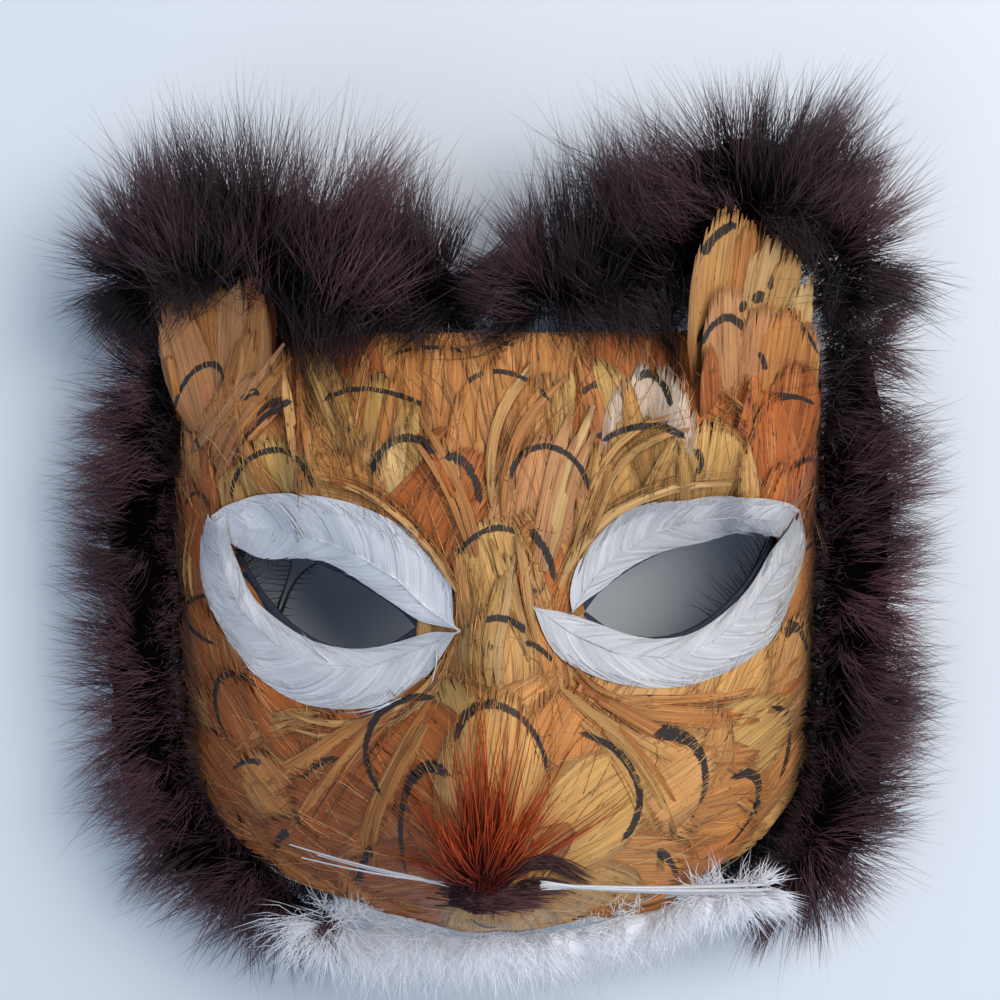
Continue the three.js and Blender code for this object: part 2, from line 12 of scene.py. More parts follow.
import bpy
import numpy as np
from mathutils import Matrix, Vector


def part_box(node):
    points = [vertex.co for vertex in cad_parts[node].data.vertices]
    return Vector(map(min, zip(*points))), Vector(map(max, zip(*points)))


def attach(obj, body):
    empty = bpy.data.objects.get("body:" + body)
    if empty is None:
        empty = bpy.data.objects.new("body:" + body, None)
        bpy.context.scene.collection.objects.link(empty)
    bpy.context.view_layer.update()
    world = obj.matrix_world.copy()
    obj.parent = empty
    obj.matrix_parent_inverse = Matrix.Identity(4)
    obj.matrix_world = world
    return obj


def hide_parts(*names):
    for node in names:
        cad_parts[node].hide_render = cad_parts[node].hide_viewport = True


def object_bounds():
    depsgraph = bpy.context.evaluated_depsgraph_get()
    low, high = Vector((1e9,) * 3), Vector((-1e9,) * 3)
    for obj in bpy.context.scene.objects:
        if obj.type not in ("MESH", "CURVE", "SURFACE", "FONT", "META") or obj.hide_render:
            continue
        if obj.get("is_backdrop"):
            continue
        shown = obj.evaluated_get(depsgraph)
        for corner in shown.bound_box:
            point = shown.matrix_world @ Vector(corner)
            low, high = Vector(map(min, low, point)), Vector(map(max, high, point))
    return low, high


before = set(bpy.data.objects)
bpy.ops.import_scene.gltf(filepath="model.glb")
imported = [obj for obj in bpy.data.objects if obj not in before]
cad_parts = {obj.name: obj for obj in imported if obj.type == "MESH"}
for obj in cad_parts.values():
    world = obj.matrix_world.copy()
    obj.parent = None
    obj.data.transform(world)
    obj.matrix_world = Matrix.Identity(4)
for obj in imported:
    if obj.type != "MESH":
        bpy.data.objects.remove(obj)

cad_box = [list(corner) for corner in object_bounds()]
print("nodes in the frame:", len(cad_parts))

# %% [markdown]
# ## Millimetres of the face
#
# Feathers are easier to place in the face's own millimetres, with the point between the eyes
# at x = 0, y = 0. The shell is as wide to the left as to the right, and its top edge is 65 mm
# above the eyes, so the shell's box says how far the row frame is shifted from the face's.

# %% From the face's millimetres to the row frame
MM = 0.001
FACE_TOP = 65
shell_low, shell_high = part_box("mask_shell")
SHIFT = np.array([(shell_low[0] + shell_high[0]) / 2 / MM, shell_high[1] / MM - FACE_TOP, 0])


def row(points):
    """Face millimetres to metres in the row frame."""
    return (np.asarray(points, float) + SHIFT) * MM


print("the face's centre lies at", row([0, 0, 0]))

# %% [markdown]
# ## The camera
#
# The photograph looks at the hanging mask from a little above. Here the mask lies on its
# back, so the camera looks down on it, leaning 8 degrees towards the forehead. It is made
# first, because the feathers' black marks are placed by where the photograph shows them.

# %% The camera, looking down on the mask
LEAN = radians(8)
DISTANCE = 480
FRAME_SIDE = 250
LOOKED_AT = np.array([0.75, 25, 45])
EYE = LOOKED_AT + DISTANCE * np.array([0, sin(LEAN), cos(LEAN)])

camera_data = bpy.data.cameras.new("camera")
camera_data.sensor_width = 36
camera_data.lens = 36 * DISTANCE / FRAME_SIDE
camera = bpy.data.objects.new("camera", camera_data)
camera.location = row(EYE)
camera.rotation_euler = (-LEAN, 0, 0)
bpy.context.scene.collection.objects.link(camera)
bpy.context.scene.camera = camera
print("lens", round(camera_data.lens, 1), "mm")

# %% [markdown]
# ## The form of the face
#
# The shell is a crown that falls away to the forehead and the chin and wraps down to the
# sides, with smooth bumps for the nose, the cheeks and the brows and hollows for the eyes.
# The same sums as in the part's source give its height anywhere, so every feather can be
# laid on it at a small lift.

# %% The face's height and slope
def smooth(start, end, value):
    t = np.clip((value - start) / (end - start), 0, 1)
    return t * t * (3 - 2 * t)


def bump(x, y, height, cx, cy, rx, ry):
    return height * np.exp(-(((np.abs(x) - cx) / rx) ** 2) - ((y - cy) / ry) ** 2)


def face_height(x, y):
    crown = 61 - 11 * np.maximum(0, (y - 8) / 58) ** 2 - 19 * np.maximum(0, (8 - y) / 90) ** 2
    wrap = 1 - (np.abs(x) / 88) ** 2.5
    nose_rise = smooth(34, -64, y) * (1 - 0.75 * smooth(-66, -92, y))
    nose_width = 9 + 15 * smooth(20, -60, y)
    nose = 30 * nose_rise * np.exp(-((x / nose_width) ** 2))
    cheeks = bump(x, y, 8, 32, -48, 22, 24)
    brows = bump(x, y, 5, 38, 34, 26, 13)
    sockets = bump(x, y, -7, 45, 4, 22, 15)
    return crown * wrap + nose + cheeks + brows + sockets


def steepness(x, y):
    """How much higher a layer reaches straight up, for its thickness across the slope."""
    slope_x = face_height(x + 0.5, y) - face_height(x - 0.5, y)
    slope_y = face_height(x, y + 0.5) - face_height(x, y - 0.5)
    return np.minimum(3, np.sqrt(1 + slope_x**2 + slope_y**2))


def on_face(x, y, lift):
    x, y, lift = np.broadcast_arrays(np.asarray(x, float), y, lift)
    height = np.maximum(face_height(x, y) + lift * steepness(x, y), 0.3)
    return np.stack([x, y, height], axis=-1)


def ray(px, py):
    """The way the camera looks through a pixel of the photograph, 1000 pixels square."""
    across, up = (px - 500) / 1000 * FRAME_SIDE / DISTANCE, (500 - py) / 1000 * FRAME_SIDE / DISTANCE
    return np.array([across, -sin(LEAN) + up * cos(LEAN), -cos(LEAN) - up * sin(LEAN)])


def seen_on_face(px, py, lift=1.5):
    """Where the photograph's pixel falls on the face, in plan."""
    way = ray(px, py)
    steps = np.linspace(400, 530, 2601)
    path = EYE + steps[:, None] * way
    first = np.argmax(path[:, 2] < face_height(path[:, 0], path[:, 1]) + lift)
    return path[first, :2]


print("the nose's tip is", round(float(face_height(0, -66)), 1), "mm above the table")

# %% [markdown]
# ## From a primitive to a shaped piece
#
# Several pieces start as one of Blender's primitives: a cone for a barb, a cylinder for the
# middle of the mane, a grid for an ear's card. Short functions add one, cut it across so that
# it can bend, and read or set the places of its corners.

# %% Adding, cutting and shaping a primitive
def primitive(add, name, **settings):
    """A new primitive with a name, made by the operator add."""
    bpy.ops.object.select_all(action="DESELECT")
    add(**settings)
    piece = bpy.context.object
    piece.name = piece.data.name = name
    return piece


def cut_across(levels):
    """Cuts the active primitive, which is 1 tall, into levels of equal height."""
    bpy.ops.object.mode_set(mode="EDIT")
    for level in range(1, levels):
        bpy.ops.mesh.select_all(action="SELECT")
        bpy.ops.mesh.bisect(plane_co=(0, 0, level / levels - 0.5), plane_no=(0, 0, 1))
    bpy.ops.object.mode_set(mode="OBJECT")


def corners_of(piece):
    return np.array([v.co for v in piece.data.vertices])


def move_corners(piece, points):
    """Puts a piece's corners at places in the face's millimetres."""
    piece.data.vertices.foreach_set("co", row(points).ravel())


print("a millimetre of the face is", MM, "m in the row frame")

# %% [markdown]
# ## Fibres
#
# Everything soft on the mask is fibres: barbs, strips of barbs that cling together, quills
# and down. A real strand could be a curve or a hair particle, but those don't survive an
# export, so each is a closed three-sided mesh. One fibre is modelled from a cone or a
# cylinder, cut across so that it can bend, and then copied with its own corners.

# %% A fibre, modelled once
class Fibre:
    """Which corners make each face of a fibre, its corners numbered level by level."""

    def __init__(self, levels, sides=3, pointed=True):
        self.levels, self.sides, self.pointed = levels, sides, pointed
        if pointed:
            add, radii = bpy.ops.mesh.primitive_cone_add, {"radius1": 1, "radius2": 0}
        else:
            add, radii = bpy.ops.mesh.primitive_cylinder_add, {"radius": 1}
        model = primitive(add, "fibre", vertices=sides, depth=1, **radii)
        cut_across(levels)
        number = {v.index: self.corner(v.co) for v in model.data.vertices}
        faces = [[number[v] for v in face.vertices] for face in model.data.polygons]
        self.quads = np.array([f for f in faces if len(f) == 4]).reshape(1, -1, 4)
        caps = [[f[0], f[i], f[i + 1]] for f in faces if len(f) != 4 for i in range(1, len(f) - 1)]
        self.tris = np.array(caps).reshape(1, -1, 3)
        bpy.data.objects.remove(model)

    def corner(self, place):
        level = round((place.z + 0.5) * self.levels)
        if self.pointed and level == self.levels:
            return level * self.sides
        turn = (degrees(atan2(place.y, place.x)) - 90) % 360
        return level * self.sides + round(turn * self.sides / 360) % self.sides


BARB = Fibre(levels=3)
DOWN = Fibre(levels=2)
SHAFT = Fibre(levels=7)
STRIP = Fibre(levels=6, pointed=False)
STRAP = Fibre(levels=8, pointed=False)
SMALL_STRAP = Fibre(levels=5, pointed=False)
QUILL = Fibre(levels=6, sides=8, pointed=False)
print("faces of a barb", BARB.quads.shape[1] + BARB.tris.shape[1])

# %% [markdown]
# ## Heaps of fibres
#
# A heap gathers many copies and becomes one mesh. Each copy keeps what its finish needs to
# know, such as its dye or how far along the strand a corner is, as attributes of the mesh.

# %% Heaps that become meshes
class Heap:
    def __init__(self):
        self.points, self.quads, self.tris, self.values, self.count = [], [], [], {}, 0

    def add(self, fibre, points, **values):
        """points has a row of corners for each copy; a value is one for each copy or corner."""
        copies, corners = points.shape[:2]
        starts = self.count + corners * np.arange(copies)[:, None, None]
        self.quads.append((fibre.quads + starts).reshape(-1, 4))
        self.tris.append((fibre.tris + starts).reshape(-1, 3))
        self.points.append(points.reshape(-1, 3))
        for key, value in values.items():
            value = np.asarray(value, float)
            width = value.shape[2:] or (1,)
            full = np.broadcast_to(value.reshape(value.shape[:2] + width), (copies, corners) + width)
            self.values.setdefault(key, []).append(full.reshape(-1, *width))
        self.count += copies * corners

    def mesh(self, name):
        mesh = bpy.data.meshes.new(name)
        points = row(np.concatenate(self.points))
        quads, tris = np.concatenate(self.quads), np.concatenate(self.tris)
        corners = np.concatenate([quads.ravel(), tris.ravel()])
        starts = np.concatenate([4 * np.arange(len(quads)), 4 * len(quads) + 3 * np.arange(len(tris))])
        mesh.vertices.add(len(points))
        mesh.vertices.foreach_set("co", points.ravel())
        mesh.loops.add(len(corners))
        mesh.loops.foreach_set("vertex_index", corners)
        mesh.polygons.add(len(starts))
        mesh.polygons.foreach_set("loop_start", starts)
        mesh.polygons.foreach_set("use_smooth", np.ones(len(starts), bool))
        mesh.update(calc_edges=True)
        for key, value in self.values.items():
            value = np.concatenate(value)
            kind, field = ("FLOAT", "value") if value.shape[1] == 1 else ("FLOAT_VECTOR", "vector")
            mesh.attributes.new(key, kind, "POINT").data.foreach_set(field, value.ravel())
        return mesh


def triangles(mesh):
    return sum(len(face.vertices) - 2 for face in mesh.polygons)


pieces = {}


def finish_piece(piece, material, replaced):
    """Gives a piece its material, lets it ride on the mask and stand for its CAD nodes."""
    piece.data.materials.clear()
    piece.data.materials.append(material)
    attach(piece, "root")
    if replaced:
        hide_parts(*replaced)
    pieces[piece.name] = triangles(piece.data)


def piece_of(heap, name, material, slot, *replaced, sharp=None):
    mesh = heap.mesh(name)
    if sharp:
        mesh.set_sharp_from_angle(angle=radians(sharp))
    piece = bpy.data.objects.new(name, mesh)
    bpy.context.scene.collection.objects.link(piece)
    finish_piece(piece, material, replaced)
    return piece


def unit(vectors):
    return vectors / np.maximum(np.linalg.norm(vectors, axis=-1, keepdims=True), 1e-9)


def strands(heap, fibre, lines, radii, **values):
    """Fibres along lines (copies, levels + 1, 3), with a radius at each level."""
    along = unit(np.gradient(lines, axis=1))
    across = unit(np.cross(along, [0.13, 0.31, 0.94]))
    up = np.cross(across, along)
    turns = np.radians(90 + 360 * np.arange(fibre.sides) / fibre.sides)
    ring = np.cos(turns)[:, None] * across[:, :, None] - np.sin(turns)[:, None] * up[:, :, None]
    corners = lines[:, :, None] + np.asarray(radii)[..., None, None] * -ring
    if fibre.pointed:
        body = corners[:, :-1].reshape(len(lines), -1, 3)
        points = np.concatenate([body, lines[:, -1:]], axis=1)
    else:
        points = corners.reshape(len(lines), -1, 3)
    shares = np.repeat(np.arange(fibre.levels + 1) / fibre.levels, fibre.sides)
    heap.add(fibre, points, along=shares[None, : points.shape[1]], **values)


# %% [markdown]
# ## A short hand for materials
#
# Sums on the values in a material are easier to read as sums. A Flow wraps a socket and
# each operator on it adds a Math node. All other nodes come from one method, which takes
# the node's type, its settings and the values or links of its sockets.

# %% Flows and paints
class Flow:
    def __init__(self, paint, socket):
        self.paint, self.socket = paint, socket

    def math(self, operation, *values):
        inputs = dict(enumerate(values))
        return self.paint.node("ShaderNodeMath", {"operation": operation}, inputs)

    def __add__(self, other):
        return self.math("ADD", self, other)

    def __sub__(self, other):
        return self.math("SUBTRACT", self, other)

    def __rsub__(self, other):
        return self.math("SUBTRACT", other, self)

    def __mul__(self, other):
        return self.math("MULTIPLY", self, other)

    def __truediv__(self, other):
        return self.math("DIVIDE", self, other)

    def __pow__(self, other):
        return self.math("POWER", self, other)

    def __abs__(self):
        return self.math("ABSOLUTE", self)

    __radd__, __rmul__ = __add__, __mul__

    def above(self, low, high):
        """0 where this is under low, 1 where it is over high."""
        inputs = {"Value": self, "From Min": low, "From Max": high}
        return self.paint.node("ShaderNodeMapRange", {"interpolation_type": "SMOOTHSTEP"}, inputs)


class Paint:
    def __init__(self, name, plain):
        self.material = bpy.data.materials.new(name)
        self.material.use_nodes = True
        self.tree = self.material.node_tree
        self.shader = self.tree.nodes["Principled BSDF"]
        for socket, value in plain.items():
            self.shader.inputs[socket].default_value = value

    def node(self, kind, settings=None, inputs=None, output=0):
        node = self.tree.nodes.new(kind)
        for key, value in (settings or {}).items():
            setattr(node, key, value)
        for key, value in (inputs or {}).items():
            if isinstance(value, Flow):
                self.tree.links.new(value.socket, node.inputs[key])
            else:
                node.inputs[key].default_value = value
        return Flow(self, node.outputs[output])

    def attribute(self, name, output="Vector"):
        return self.node("ShaderNodeAttribute", {"attribute_name": name}, output=output)

    def parts(self, vector):
        split = self.node("ShaderNodeSeparateXYZ", inputs={"Vector": vector}).socket.node
        return [Flow(self, socket) for socket in split.outputs]

    def scaled(self, vector, factors):
        settings = {"operation": "MULTIPLY"}
        return self.node("ShaderNodeVectorMath", settings, {0: vector, 1: factors}, "Vector")

    def noise(self, vector, scale=1.0, detail=2.0, roughness=0.5):
        inputs = {"Vector": vector, "Scale": scale, "Detail": detail, "Roughness": roughness}
        return self.node("ShaderNodeTexNoise", inputs=inputs, output="Fac")

    def object_place(self):
        return self.node("ShaderNodeTexCoord", output="Object")

    def mix(self, factor, a, b, blend="MIX"):
        settings = {"data_type": "RGBA", "blend_type": blend}
        return self.node("ShaderNodeMix", settings, {0: factor, 6: a, 7: b}, 2)

    def brightened(self, colour, factor):
        inputs = {"Color": colour, "Value": factor}
        return self.node("ShaderNodeHueSaturation", inputs=inputs, output="Color")

    def bumped(self, height, distance, strength=1.0):
        inputs = {"Height": height, "Distance": distance, "Strength": strength}
        return self.node("ShaderNodeBump", inputs=inputs, output="Normal")

    def feed(self, **flows):
        for socket, flow in flows.items():
            target = self.shader.inputs[socket.replace("_", " ")]
            self.tree.links.new(flow.socket, target)
        return self.material


def colour(red, green, blue):
    """A colour picked on a screen, 0 to 255, as Blender's linear red, green and blue."""
    share = np.array([red, green, blue]) / 255
    return np.where(share <= 0.04045, share / 12.92, ((share + 0.055) / 1.055) ** 2.4)


def rgba(*screen):
    return (*colour(*screen), 1.0)


# %% [markdown]
# ## Dyed feathers
#
# A dyed vane is matt with a soft sheen along its barbs. Its colour runs in streaks that
# follow the barbs, and each feather took the dye a little differently, so the dye, with the
# shade painted on it, comes from an attribute and the streaks from noise stretched along the
# barbs. Gaps and frayed edges are painted dark, a painted shade for the shadowed layers under
# them, not see-through, which would slow the render. The maker drew a black arc near each
# feather's tip with a brush pen. The arc is a piece of a circle in a space of its own, which
# each corner of the feather carries, so it stays sharp however close one looks.

# %% The finish of a vane
INK = rgba(26, 30, 32)


def vane_finish(name, plain, streak, painted_gap_shade_colour, light_colour, inked):
    paint = Paint(name, plain)
    barbs = paint.attribute("barbs")
    dye = paint.attribute("dye", "Color")
    fine = paint.noise(paint.scaled(barbs, (2.6, 0.05, 1)), detail=2, roughness=0.65)
    broad = paint.noise(paint.scaled(barbs, (0.95, 0.03, 3)), detail=2)
    blotch = paint.noise(paint.object_place(), 95, 2)
    tint = 1 + (fine - 0.5) * streak * 2.5 + (broad - 0.5) * streak * 2.6 + (blotch - 0.5) * streak * 1.2
    base = paint.brightened(dye, tint)
    light = paint.noise(paint.scaled(barbs, (3.6, 0.06, 5)), detail=1).above(0.60, 0.68)
    base = paint.mix(light * 0.45, base, light_colour)
    # splits between the barbs and the frayed edge are painted dark: painted shade, not see-through gaps
    gaps = paint.noise(paint.scaled(barbs, (2.4, 0.035, 7)), detail=1).above(0.62, 0.68)
    frayed = paint.attribute("edge", "Fac") * 1.1 + (fine - 0.5) * 1.9
    painted_gap_shade_mask = gaps.math("MAXIMUM", gaps * 0.6, frayed.above(0.55, 0.75) * 0.5)
    base = paint.mix(painted_gap_shade_mask, base, painted_gap_shade_colour)
    if inked:
        dabs = paint.noise(paint.object_place(), 420, 2) - 0.5
        ink_a = ink_of(paint, "a", fine, dabs)
        drawn = ink_a.math("MAXIMUM", ink_a, ink_of(paint, "b", fine, dabs))
        base = paint.mix(drawn * 0.95, base, INK)
    return paint.feed(Base_Color=base, Normal=paint.bumped(fine, 0.0002, 0.5))


def ink_of(paint, letter, fine, dabs):
    """1 inside one arc of ink: place gives the arc's own x, y and half-width, ends its reach."""
    x, y, half_width = paint.parts(paint.attribute("ink_" + letter))
    left, right, lead = paint.parts(paint.attribute("ink_ends_" + letter))
    turn = x.math("ARCTAN2", x, y)
    share = (turn - left) / (right - left)
    taper = share.above(-0.04, 0.06) * (1 - share.above(0.94, 1.04))
    swell = 1 + (share - 0.5) * lead
    radius = (x * x + y * y) ** 0.5
    depth = taper * swell - abs(radius - 1) / half_width
    return (depth + (fine - 0.5) * 1.3 + dabs * 0.9).above(-0.12, 0.14)


dyed = vane_finish(
    "dyed_feather",
    {"Roughness": 0.6, "Specular IOR Level": 0.3, "Sheen Weight": 0.15, "Sheen Roughness": 0.4},
    streak=0.32,
    painted_gap_shade_colour=rgba(104, 56, 22),
    light_colour=rgba(226, 184, 118),
    inked=True,
)
white_vane = vane_finish(
    "white_feather",
    {"Roughness": 0.5, "Specular IOR Level": 0.35, "Sheen Weight": 0.2, "Sheen Roughness": 0.4},
    streak=0.20,
    painted_gap_shade_colour=rgba(140, 140, 138),
    light_colour=rgba(240, 240, 240),
    inked=False,
)
print("vane finishes:", dyed.name, white_vane.name)

# %% [markdown]
# ## Down and hackle
#
# A strand of marabou is darker at its root, deep in the plume, where the root's near-black colour is painted
# shade, and lighter towards its tip.
# The finish blends three colours along the strand and shifts each strand a little, since no
# two take the dye alike. What isn't a strand is mottled: it varies between two colours.

# %% The finish of a strand
def strand_finish(name, root, middle, tip, plain, spread=0.5):
    paint = Paint(name, plain)
    along = paint.attribute("along", "Fac")
    tint = paint.attribute("tint", "Fac")
    base = paint.mix(along.above(0.1, 0.75), root, middle)
    base = paint.mix(along.above(0.6, 1.0), base, tip)
    return paint.feed(Base_Color=paint.brightened(base, 1 + (tint - 0.5) * 2 * spread))


MATT = {"Roughness": 0.6, "Specular IOR Level": 0.25}
# the near-black root colour is painted shade for the depth of the plumes
marabou = strand_finish(
    "mane_marabou", rgba(7, 6, 8), rgba(86, 52, 55), rgba(76, 57, 62),
    {"Roughness": 0.5, "Specular IOR Level": 0.5}, 0.9,
)
# The white down glows a little: its Emission Strength is a painted light.
down = strand_finish(
    "white_marabou", rgba(232, 234, 238), rgba(246, 248, 252), rgba(250, 251, 254),
    {**MATT, "Emission Strength": 0.10}, 0.05,
)
hackle = strand_finish("rust_hackle", rgba(90, 24, 10), rgba(186, 70, 20), rgba(210, 108, 42), MATT, 0.25)
plum = strand_finish("nose_pad_down", rgba(50, 26, 26), rgba(92, 56, 54), rgba(112, 74, 70), MATT, 0.3)



def mottled(name, plain, dark, light, scale=1, detail=2, roughness=0.5, stretch=None, bump=None):
    """A finish that varies between two colours; bump is the height of its grain and strength."""
    paint = Paint(name, plain)
    place = paint.object_place()
    if stretch:
        place = paint.scaled(place, stretch)
    grain = paint.noise(place, scale, detail, roughness)
    flows = {"Base_Color": paint.mix(grain, dark, light)}
    if bump:
        flows["Normal"] = paint.bumped(grain, *bump)
    return paint.feed(**flows)


quill = mottled(
    "quill",
    {"Roughness": 0.22, "Transmission Weight": 0.35, "IOR": 1.45, "Coat Weight": 0.3},
    rgba(214, 211, 208), rgba(248, 248, 248), stretch=(60, 900, 900),
)
print("strand finishes:", marabou.name, down.name, hackle.name, plum.name, quill.name)

# %% [markdown]
# ## The openings of the eyes
#
# Each eye is a leaf between its inner and its outer corner, and rises and drops so far from
# the line between them. A feather that would hang over the opening is trimmed there.

# %% Eye leaves
class Leaf:
    def __init__(self, inner, outer, rise, drop):
        self.inner, self.line = np.array(inner, float), np.subtract(outer, inner)
        self.length = np.hypot(*self.line)
        up = np.array([-self.line[1], self.line[0]]) / self.length
        self.up = up if up[1] > 0 else -up
        self.rise, self.drop = rise, drop

    def holds(self, x, y, grow=0.0):
        from_inner = np.stack([x, y], -1) - self.inner
        t = from_inner @ self.line / self.length**2
        height = from_inner @ self.up
        swell = np.maximum(0, np.sin(pi * np.clip(t, 0, 1) ** 0.9)) ** 0.75
        between = (height < self.rise * swell + grow) & (height > -self.drop * swell - grow)
        return (t > 0) & (t < 1) & between


EYES = {
    "left": Leaf((-19.6, -4.7), (-68, 11.5), rise=4.5, drop=14),
    "right": Leaf((21.5, -1), (73, 14), rise=7, drop=15),
}
for side, opening in EYES.items():
    print(side, "eye opening", round(opening.length, 1), "mm long")

# %% [markdown]
# ## The bed that feathers are laid on
#
# Feathers rest on one another. The bed remembers how high the layers already laid reach
# above the shell, in half-millimetre cells over the plan. A new feather takes its height from
# it, smoothed because a vane is stiff, and then adds its own thickness.

# %% The bed
class Bed:
    CELLS = 2

    def __init__(self):
        self.lift = np.full((420, 420), 0.25)

    def cell(self, value):
        return (np.asarray(value) + 105) * self.CELLS

    def rest(self, x, y):
        """The lift that a stiff vane takes at these places."""
        cx, cy = self.cell(x), self.cell(y)
        x0, y0 = int(cx.min()) - 8, int(cy.min()) - 8
        x1, y1 = int(cx.max()) + 9, int(cy.max()) + 9
        crop = self.lift[max(y0, 0) : y1, max(x0, 0) : x1]
        x0, y0 = max(x0, 0), max(y0, 0)
        peak = crop.copy()
        for axis in (0, 1):
            peak = np.maximum(peak, np.maximum(np.roll(peak, 1, axis), np.roll(peak, -1, axis)))
        soft = peak
        for axis in (0, 1, 0, 1):
            soft = sum(np.roll(soft, k, axis) for k in range(-3, 4)) / 7
        top = np.maximum(soft, peak)
        ix, iy = np.clip(cx - x0, 0, top.shape[1] - 1.01), np.clip(cy - y0, 0, top.shape[0] - 1.01)
        fx, fy = ix.astype(int), iy.astype(int)
        wx, wy = ix - fx, iy - fy
        low = top[fy, fx] * (1 - wx) + top[fy, fx + 1] * wx
        high = top[fy + 1, fx] * (1 - wx) + top[fy + 1, fx + 1] * wx
        return low * (1 - wy) + high * wy

    def lay(self, x, y, top):
        """Raises the bed under a strip's corners (copies, levels, 3), filled in between."""
        for step in np.linspace(0, 1, 9):
            a = [v[:, :-1] * (1 - step) + v[:, 1:] * step for v in (x, y, top)]
            for lean in (0.0, 0.33, 0.66, 1.0):
                place = [v[:, :, 1] * (1 - lean) + v[:, :, 2] * lean for v in a]
                cx, cy = (np.clip(self.cell(v).astype(int), 0, 419) for v in place[:2])
                np.maximum.at(self.lift, (cy, cx), place[2])


bed = Bed()
print("bed of", bed.lift.size, "cells")

# %% [markdown]
# ## Smooth lines
#
# Edges, shafts, stems and strips are smooth lines through a few places.

# %% Smooth lines through a few places
def line_through(places, shares):
    """A Catmull-Rom line through rows of numbers, read at shares from 0 to 1."""
    places = np.asarray(places, float)
    padded = np.vstack([2 * places[0] - places[1], places, 2 * places[-1] - places[-2]])
    spot = np.clip(np.asarray(shares), 0, 1) * (len(places) - 1)
    i = np.minimum(spot.astype(int), len(places) - 2)
    t = (spot - i)[..., None]
    a, b, c, d = (padded[i + k] for k in range(4))
    return 0.5 * (2 * b + (c - a) * t + (2 * a - 5 * b + 4 * c - d) * t**2 + (3 * b - a - 3 * c + d) * t**3)


# %% [markdown]
# ## Black arcs
#
# Each arc is placed by three pixels of the photograph: its left end, its highest point and
# its right end. The three are carried to the face, and a small sum gives the space in which
# the arc is part of a circle of radius 1.

# %% The arcs, by pixels of the photograph
# left end, top, right end, width in mm, how much bolder the right end is
ARCS = {
    "temple_left_1": ((184, 418), (207, 363), (232, 395), 1.3, -0.2),
    "temple_left_2": ((190, 436), (199, 428), (209, 441), 1.0, 0.2),
    "temple_left_3": ((239, 456), (262, 420), (290, 402), 1.2, 0.6),
    "temple_left_4": ((250, 396), (254, 392), (258, 396), 1.6, 0.0),
    "crown_right_2": ((655, 335), (668, 344), (676, 363), 1.7, 0.0),
    "crown_left_1": ((284, 358), (300, 343), (316, 357), 1.1, 0.0),
    "brow_left_1": ((237, 492), (272, 447), (314, 485), 1.4, 0.0),
    "crown_left_2": ((326, 399), (373, 389), (433, 410), 1.2, 0.5),
    "crown_1": ((395, 354), (429, 347), (460, 351), 1.0, 0.2),
    "crown_2": ((461, 391), (500, 371), (548, 398), 1.2, 0.2),
    "brow_left_2": ((374, 470), (400, 438), (436, 452), 1.9, 0.3),
    "brow_left_3": ((446, 455), (468, 466), (480, 501), 2.0, 0.4),
    "edge_left": ((192, 500), (205, 486), (216, 500), 1.1, 0.0),
    "bridge_1": ((458, 551), (487, 529), (515, 532), 1.4, -0.3),
    "bridge_2": ((530, 530), (546, 551), (554, 578), 1.8, -0.2),
    "brow_centre": ((511, 475), (550, 446), (588, 488), 1.5, 0.1),
    "brow_right_1": ((602, 440), (645, 423), (679, 432), 1.5, -0.2),
    "brow_right_2": ((691, 424), (705, 420), (717, 424), 1.2, 0.0),
    "brow_right_0": ((637, 379), (655, 376), (667, 402), 1.7, 0.3),
    "crown_right_0": ((582, 392), (592, 385), (602, 383), 1.6, 0.0),
    "temple_right_2": ((784, 459), (797, 452), (812, 456), 1.4, 0.0),
    "side_right_1": ((803, 548), (812, 540), (822, 547), 1.2, 0.0),
    "side_right_2": ((783, 632), (795, 625), (806, 650), 2.2, -0.4),
    "cheek_right_1": ((749, 704), (785, 714), (779, 774), 1.5, 0.0),
    "cheek_right_2": ((655, 731), (700, 752), (690, 814), 2.3, -1.0),
    "cheek_right_3": ((581, 731), (635, 775), (621, 836), 1.7, 0.0),
    "cheek_right_4": ((731, 771), (757, 788), (726, 844), 1.8, -0.9),
    "cheek_right_5": ((656, 849), (668, 856), (677, 876), 1.9, -0.3),
    "nose": ((456, 736), (503, 705), (547, 771), 1.6, -0.4),
    "nose_bridge": ((464, 631), (495, 617), (524, 629), 1.6, 0.0),
    "muzzle_left": ((406, 866), (408, 785), (449, 770), 1.8, 0.1),
    "cheek_left_1": ((381, 790), (373, 722), (434, 694), 1.6, 0.3),
    "cheek_left_2": ((303, 822), (300, 780), (338, 755), 1.5, 0.3),
    "cheek_left_3": ((276, 850), (281, 835), (290, 828), 2.0, 0.0),
    "cheek_left_4": ((230, 730), (222, 675), (260, 682), 1.4, 0.1),
    "cheek_left_5": ((236, 763), (249, 755), (263, 757), 1.3, 0.4),
    "side_left_1": ((180, 680), (188, 602), (217, 640), 1.4, 0.3),
    "side_left_2": ((182, 691), (195, 712), (207, 736), 2.0, 0.0),
    "lip_left": ((359, 878), (364, 860), (372, 845), 2.0, 0.0),
    "lip_right": ((620, 920), (659, 913), (684, 897), 0.9, 0.0),
    "lip_middle_1": ((472, 914), (484, 921), (496, 921), 1.0, 0.0),
    "lip_middle_2": ((572, 922), (579, 916), (586, 920), 1.8, 0.0),
    "brow_left_4": ((262, 410), (274, 401), (283, 402), 1.6, 0.3),
    "brow_left_5": ((291, 400), (294, 410), (297, 421), 1.7, 0.0),
    "crown_2_start": ((375, 382), (381, 376), (388, 380), 2.2, 0.0),
    "crown_3": ((486, 349), (505, 343), (522, 349), 1.1, 0.3),
    "brow_right_00": ((600, 438), (604, 434), (608, 438), 2.4, 0.0),
    "brow_right_3": ((691, 445), (697, 457), (694, 470), 1.6, -0.3),
    "bridge_3": ((526, 640), (540, 648), (552, 660), 1.2, 0.0),
}


